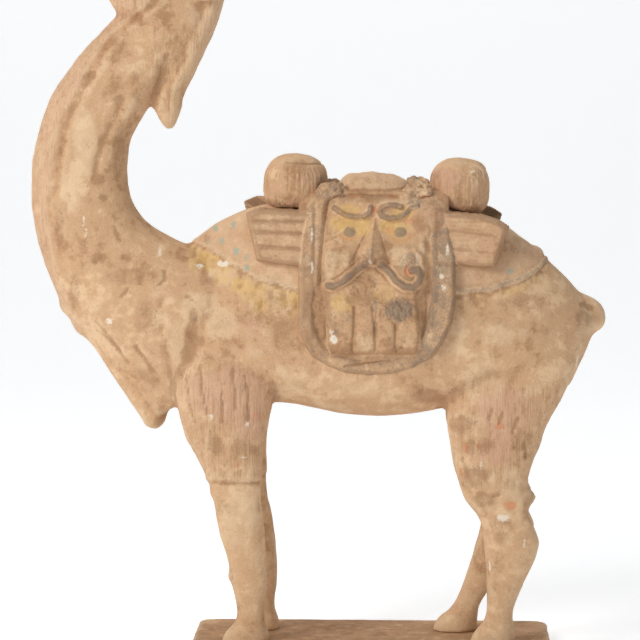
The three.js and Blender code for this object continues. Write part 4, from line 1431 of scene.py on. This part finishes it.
def add(tree, kind, links=None, values=None, **settings):
    """A node with its settings, the numbers on its sockets, and what is linked into them."""
    made = tree.nodes.new(kind)
    for key, setting in settings.items():
        setattr(made, key, setting)
    for key, value in (values or {}).items():
        made.inputs[key].default_value = value
    for key, source in (links or {}).items():
        tree.links.new(source, made.inputs[key])
    return made


def number(tree, operation, first, second=None, clamp=False):
    """A Math node on sockets or plain numbers; its result."""
    made = add(tree, "ShaderNodeMath", operation=operation, use_clamp=clamp)
    for index, given in enumerate((first, second)):
        if given is None:
            continue
        if isinstance(given, (int, float)):
            made.inputs[index].default_value = given
        else:
            tree.links.new(given, made.inputs[index])
    return made.outputs[0]


def mixed(tree, amount, under, over, blend="MIX"):
    """A colour mix: `over` lies on `under` by `amount`."""
    made = add(tree, "ShaderNodeMix", data_type="RGBA", blend_type=blend, clamp_factor=True)
    for index, given in ((0, amount), (6, under), (7, over)):
        if isinstance(given, (int, float, tuple)):
            made.inputs[index].default_value = given
        else:
            tree.links.new(given, made.inputs[index])
    return made.outputs[2]


def speckle(tree, place, scale, detail=4.0, rough=0.6, stretch=None, seed=0.0):
    """Noise over the object, `scale` features to the metre, drawn out along z by `stretch`."""
    shift = (seed * 0.137, seed * 0.271, seed * 0.411)
    size = (1, 1, 1 / stretch) if stretch else (1, 1, 1)
    moved = add(tree, "ShaderNodeMapping", {"Vector": place}, {"Location": shift, "Scale": size})
    made = add(
        tree,
        "ShaderNodeTexNoise",
        {"Vector": moved.outputs[0]},
        {"Scale": scale, "Detail": detail, "Roughness": rough},
    )
    return made.outputs["Fac"]


def banded(tree, value, start, end):
    """A smooth step of a value from 0 at start to 1 at end."""
    made = add(
        tree,
        "ShaderNodeMapRange",
        {"Value": value},
        {"From Min": start, "From Max": end, "To Min": 0.0, "To Max": 1.0},
        interpolation_type="SMOOTHSTEP",
    )
    return made.outputs[0]


def clay_ground_group():
    """Bare fired clay: three sizes of mottle over a warm buff, with pits and grog for the bump."""
    group = bpy.data.node_groups.new("clay_ground", "ShaderNodeTree")
    socket(group, "Light", "NodeSocketColor", "INPUT", linear(224, 189, 150))
    socket(group, "Body", "NodeSocketColor", "INPUT", linear(205, 166, 126))
    socket(group, "Dark", "NodeSocketColor", "INPUT", linear(178, 137, 99))
    socket(group, "Color", "NodeSocketColor", "OUTPUT")
    socket(group, "Height", "NodeSocketFloat", "OUTPUT")
    inward = group.nodes.new("NodeGroupInput")
    outward = group.nodes.new("NodeGroupOutput")
    place = group.nodes.new("ShaderNodeTexCoord").outputs["Object"]
    clouds = speckle(group, place, 22, 5.0, 0.55, seed=1)
    mottle = speckle(group, place, 95, 6.0, 0.66, seed=2)
    grain = speckle(group, place, 520, 4.0, 0.7, seed=3)
    sway = number(group, "ADD", clouds, number(group, "MULTIPLY", number(group, "SUBTRACT", mottle, 0.5), 1.1))
    color = mixed(group, banded(group, sway, 0.52, 0.74), inward.outputs["Body"], inward.outputs["Light"])
    color = mixed(group, banded(group, sway, 0.46, 0.25), color, inward.outputs["Dark"])
    color = mixed(group, banded(group, grain, 0.55, 0.8), color, inward.outputs["Light"])
    dark_grain = number(group, "MULTIPLY", banded(group, grain, 0.43, 0.24), 0.7)
    color = mixed(group, dark_grain, color, inward.outputs["Dark"])
    group.links.new(color, outward.inputs["Color"])
    pits = add(group, "ShaderNodeTexVoronoi", {"Vector": place}, {"Scale": 210.0, "Randomness": 1.0})
    pitted = number(group, "MULTIPLY", banded(group, pits.outputs["Distance"], 0.22, 0.05), -0.55)
    sparse = banded(group, speckle(group, place, 60, 2.0, 0.5, seed=4), 0.5, 0.62)
    height = number(group, "ADD", number(group, "MULTIPLY", grain, 0.55), number(group, "MULTIPLY", mottle, 1.1))
    height = number(group, "ADD", height, number(group, "MULTIPLY", pitted, sparse))
    group.links.new(height, outward.inputs["Height"])
    return group


def worn_layer_group():
    """A layer left in flakes: an amount, broken up by two sizes of noise, lays its colour over what is below."""
    group = bpy.data.node_groups.new("worn_layer", "ShaderNodeTree")
    socket(group, "Below", "NodeSocketColor", "INPUT", linear(200, 160, 122))
    socket(group, "Layer", "NodeSocketColor", "INPUT", linear(230, 200, 160))
    socket(group, "Amount", "NodeSocketFloat", "INPUT", 0.0)
    socket(group, "Flake", "NodeSocketFloat", "INPUT", 170.0)
    socket(group, "Cover", "NodeSocketFloat", "INPUT", 0.8)
    socket(group, "Softness", "NodeSocketFloat", "INPUT", 0.2)
    socket(group, "Color", "NodeSocketColor", "OUTPUT")
    socket(group, "Mask", "NodeSocketFloat", "OUTPUT")
    inward = group.nodes.new("NodeGroupInput")
    outward = group.nodes.new("NodeGroupOutput")
    place = group.nodes.new("ShaderNodeTexCoord").outputs["Object"]
    flakes = add(
        group,
        "ShaderNodeTexNoise",
        {"Vector": place, "Scale": inward.outputs["Flake"]},
        {"Detail": 6.0, "Roughness": 0.68},
    )
    specks = speckle(group, place, 700, 3.0, 0.7, seed=11)
    broken = number(group, "MULTIPLY", number(group, "SUBTRACT", flakes.outputs["Fac"], 0.5), 2.0)
    broken = number(group, "ADD", broken, number(group, "MULTIPLY", number(group, "SUBTRACT", specks, 0.5), 1.6))
    level = number(group, "ADD", inward.outputs["Amount"], broken)
    shown = number(group, "MULTIPLY", inward.outputs["Amount"], 6.0, clamp=True)
    soft = inward.outputs["Softness"]
    mask = add(
        group,
        "ShaderNodeMapRange",
        {
            "Value": level,
            "From Min": number(group, "SUBTRACT", 0.5, soft),
            "From Max": number(group, "ADD", 0.5, soft),
        },
        {"To Min": 0.0, "To Max": 1.0},
        interpolation_type="SMOOTHSTEP",
    )
    masked = number(group, "MULTIPLY", mask.outputs[0], number(group, "MULTIPLY", shown, inward.outputs["Cover"]))
    color = mixed(group, masked, inward.outputs["Below"], inward.outputs["Layer"])
    group.links.new(color, outward.inputs["Color"])
    group.links.new(masked, outward.inputs["Mask"])
    return group


# Each layer over the clay, from the lowest up: finish, colour, flake size, cover, softness
LAYERS = [
    ("pale", linear(230, 202, 166), 60.0, 0.5, 0.5),
    ("pink", linear(208, 164, 136), 75.0, 0.6, 0.5),
    ("ochre", linear(222, 183, 114), 150.0, 0.65, 0.4),
    ("orange", linear(214, 140, 100), 190.0, 0.7, 0.35),
    # This layer lays earth, and painted shade in hollows, creases and under overhangs
    ("earth_and_shade", linear(152, 112, 80), 110.0, 0.55, 0.5),
    ("grey", linear(138, 122, 106), 150.0, 0.68, 0.4),
    ("blue", linear(160, 172, 156), 160.0, 0.75, 0.35),
    ("white", linear(238, 226, 208), 230.0, 0.85, 0.3),
]


def clay_material(name, ground, layer, tone, depth):
    """Fired clay with what is left of its paint, and earth with painted shade in its hollows. tone scales the
    ground's colours.
    """
    made = bpy.data.materials.new(name)
    made.use_nodes = True
    tree = made.node_tree
    tree.nodes.clear()
    shades = {"Light": (224, 189, 150), "Body": (204, 164, 126), "Dark": (176, 135, 99)}
    under = add(tree, "ShaderNodeGroup", node_tree=ground)
    for key, shade in shades.items():
        under.inputs[key].default_value = linear(*(part * weight for part, weight in zip(shade, tone)))
    color = under.outputs["Color"]
    place = tree.nodes.new("ShaderNodeTexCoord").outputs["Object"]
    masks = {}
    for finish, shade, flake, cover, soft in LAYERS:
        amount = add(tree, "ShaderNodeAttribute", attribute_name=finish, attribute_type="GEOMETRY")
        laid = add(
            tree,
            "ShaderNodeGroup",
            {"Below": color, "Amount": amount.outputs["Fac"]},
            {"Layer": shade, "Flake": flake, "Cover": cover, "Softness": soft},
            node_tree=layer,
        )
        color = laid.outputs["Color"]
        masks[finish] = laid.outputs["Mask"]
    strands = speckle(tree, place, 620, 3.0, 0.6, stretch=9, seed=6)
    combed = add(tree, "ShaderNodeAttribute", attribute_name="combed", attribute_type="GEOMETRY").outputs["Fac"]
    # dirt and painted shade in the grooves between combed strands
    strand_dirt_and_shade = number(tree, "MULTIPLY", banded(tree, strands, 0.47, 0.33), combed)
    strand_dirt_and_shade = number(tree, "MULTIPLY", strand_dirt_and_shade, 0.45)
    color = mixed(tree, strand_dirt_and_shade, color, linear(168, 124, 92))
    ridges = number(tree, "MULTIPLY", number(tree, "MULTIPLY", strands, combed), 1.4)
    height = number(tree, "ADD", under.outputs["Height"], ridges)
    height = number(tree, "ADD", height, number(tree, "MULTIPLY", masks["earth_and_shade"], 0.35))
    bump = add(tree, "ShaderNodeBump", {"Height": height}, {"Strength": 0.75, "Distance": depth})
    uneven = number(tree, "MULTIPLY", speckle(tree, place, 130, 3.0, seed=8), 0.16)
    rough = number(tree, "ADD", uneven, 0.8, clamp=True)
    surface = add(
        tree,
        "ShaderNodeBsdfPrincipled",
        {"Base Color": color, "Roughness": rough, "Normal": bump.outputs[0]},
        {"Specular IOR Level": 0.22},
    )
    end = tree.nodes.new("ShaderNodeOutputMaterial")
    tree.links.new(surface.outputs[0], end.inputs["Surface"])
    return made


# The stage: a pale sweep, soft lamps and the camera

TARGET = (-0.039, 0.0, 0.2505)
CAMERA_AZIMUTH = math.radians(-2)
CAMERA_RISE = math.radians(5)
CAMERA_AWAY = 2.2
FRAME_WIDTH = 0.48  # metres across the picture at the target


def sweep():
    """A floor that curves up into a wall, clear from behind: a profile of depth and height carried along x."""
    bend = np.linspace(0, np.pi / 2, 24)
    depth = np.concatenate([[-6000.0], 1500 + 900 * np.sin(bend), [2400.0]])
    height = np.concatenate([[0.0], 900 * (1 - np.cos(bend)), [5200.0]])
    x = np.linspace(-6000, 6000, 5)
    points = np.stack(
        [np.repeat(x, len(depth)), np.tile(depth, len(x)), np.tile(height - 0.15, len(x))], axis=1
    )
    here = (np.arange(len(x) - 1)[:, None] * len(depth) + np.arange(len(depth) - 1)).ravel()
    quads = np.stack([here, here + len(depth), here + len(depth) + 1, here + 1], axis=1)
    mesh = mesh_of("pale_sweep", points, quads, NO_TRIANGLES)
    paper = bpy.data.materials.new("pale_paper")
    paper.use_nodes = True
    surface = paper.node_tree.nodes["Principled BSDF"]
    surface.inputs["Base Color"].default_value = (0.8, 0.805, 0.81, 1)
    surface.inputs["Roughness"].default_value = 0.9
    surface.inputs["Emission Color"].default_value = (0.98, 0.99, 1.0, 1)
    surface.inputs["Emission Strength"].default_value = 0.42
    nodes, links = paper.node_tree.nodes, paper.node_tree.links
    one_sided = nodes.new("ShaderNodeMixShader")
    links.new(nodes.new("ShaderNodeNewGeometry").outputs["Backfacing"], one_sided.inputs[0])
    links.new(surface.outputs[0], one_sided.inputs[1])
    links.new(nodes.new("ShaderNodeBsdfTransparent").outputs[0], one_sided.inputs[2])
    links.new(one_sided.outputs[0], nodes["Material Output"].inputs["Surface"])
    mesh.materials.append(paper)
    made = bpy.data.objects.new("pale_sweep", mesh)
    bpy.context.scene.collection.objects.link(made)


def lamp(name, place, size, power, color):
    """A square area lamp that faces the camel's middle."""
    light = bpy.data.lights.new(name, "AREA")
    light.shape = "SQUARE"
    light.size = size
    light.energy = power
    light.color = color
    made = bpy.data.objects.new(name, light)
    bpy.context.scene.collection.objects.link(made)
    aim(made, place, (-0.03, 0, 0.26))


def aim(thing, place, target):
    """Puts a lamp or the camera at a place, turned so that its -Z axis points at the target."""
    thing.location = place
    thing.rotation_euler = (Vector(target) - Vector(place)).to_track_quat("-Z", "Y").to_euler()


def stage():
    sweep()
    lamp("key", (-1.45, -1.35, 1.45), 0.9, 30, (1.0, 0.985, 0.965))
    lamp("fill", (1.4, -2.0, 0.9), 1.6, 5, (0.98, 0.99, 1.0))
    lamp("top", (0.0, 0.3, 2.0), 1.2, 7, (1.0, 1.0, 1.0))
    world = bpy.data.worlds.new("soft_room")
    world.use_nodes = True
    world.node_tree.nodes["Background"].inputs["Color"].default_value = (0.97, 0.985, 1.0, 1)
    world.node_tree.nodes["Background"].inputs["Strength"].default_value = 0.26
    scene = bpy.context.scene
    scene.world = world
    scene.view_settings.view_transform = "Standard"
    camera = bpy.data.cameras.new("camera")
    camera.sensor_width = 36
    camera.lens = 36 * CAMERA_AWAY / FRAME_WIDTH
    camera.clip_start, camera.clip_end = 0.05, 30
    viewer = bpy.data.objects.new("camera", camera)
    scene.collection.objects.link(viewer)
    back = (
        -math.sin(CAMERA_AZIMUTH) * math.cos(CAMERA_RISE),
        -math.cos(CAMERA_AZIMUTH) * math.cos(CAMERA_RISE),
        math.sin(CAMERA_RISE),
    )
    aim(viewer, tuple(t + CAMERA_AWAY * b for t, b in zip(TARGET, back)), TARGET)
    scene.camera = viewer


stage()
ground, layer = clay_ground_group(), worn_layer_group()
body_clay = clay_material("bare_clay", ground, layer, (1.0, 1.0, 1.0), 0.0011)
pack_clay = clay_material("painted_clay", ground, layer, (1.0, 1.0, 1.0), 0.0011)
slab_clay = clay_material("trodden_clay", ground, layer, (0.95, 0.94, 0.93), 0.0016)
camel_skin(body_clay)
for flank in (NEAR, FAR):
    pack_side(flank, pack_clay)
    for corner_of_pack in KNOTS:
        knot(corner_of_pack, flank, pack_clay)
for hump_name in HUMPS:
    hump(hump_name, body_clay)
roll(pack_clay)
base_slab(slab_clay)
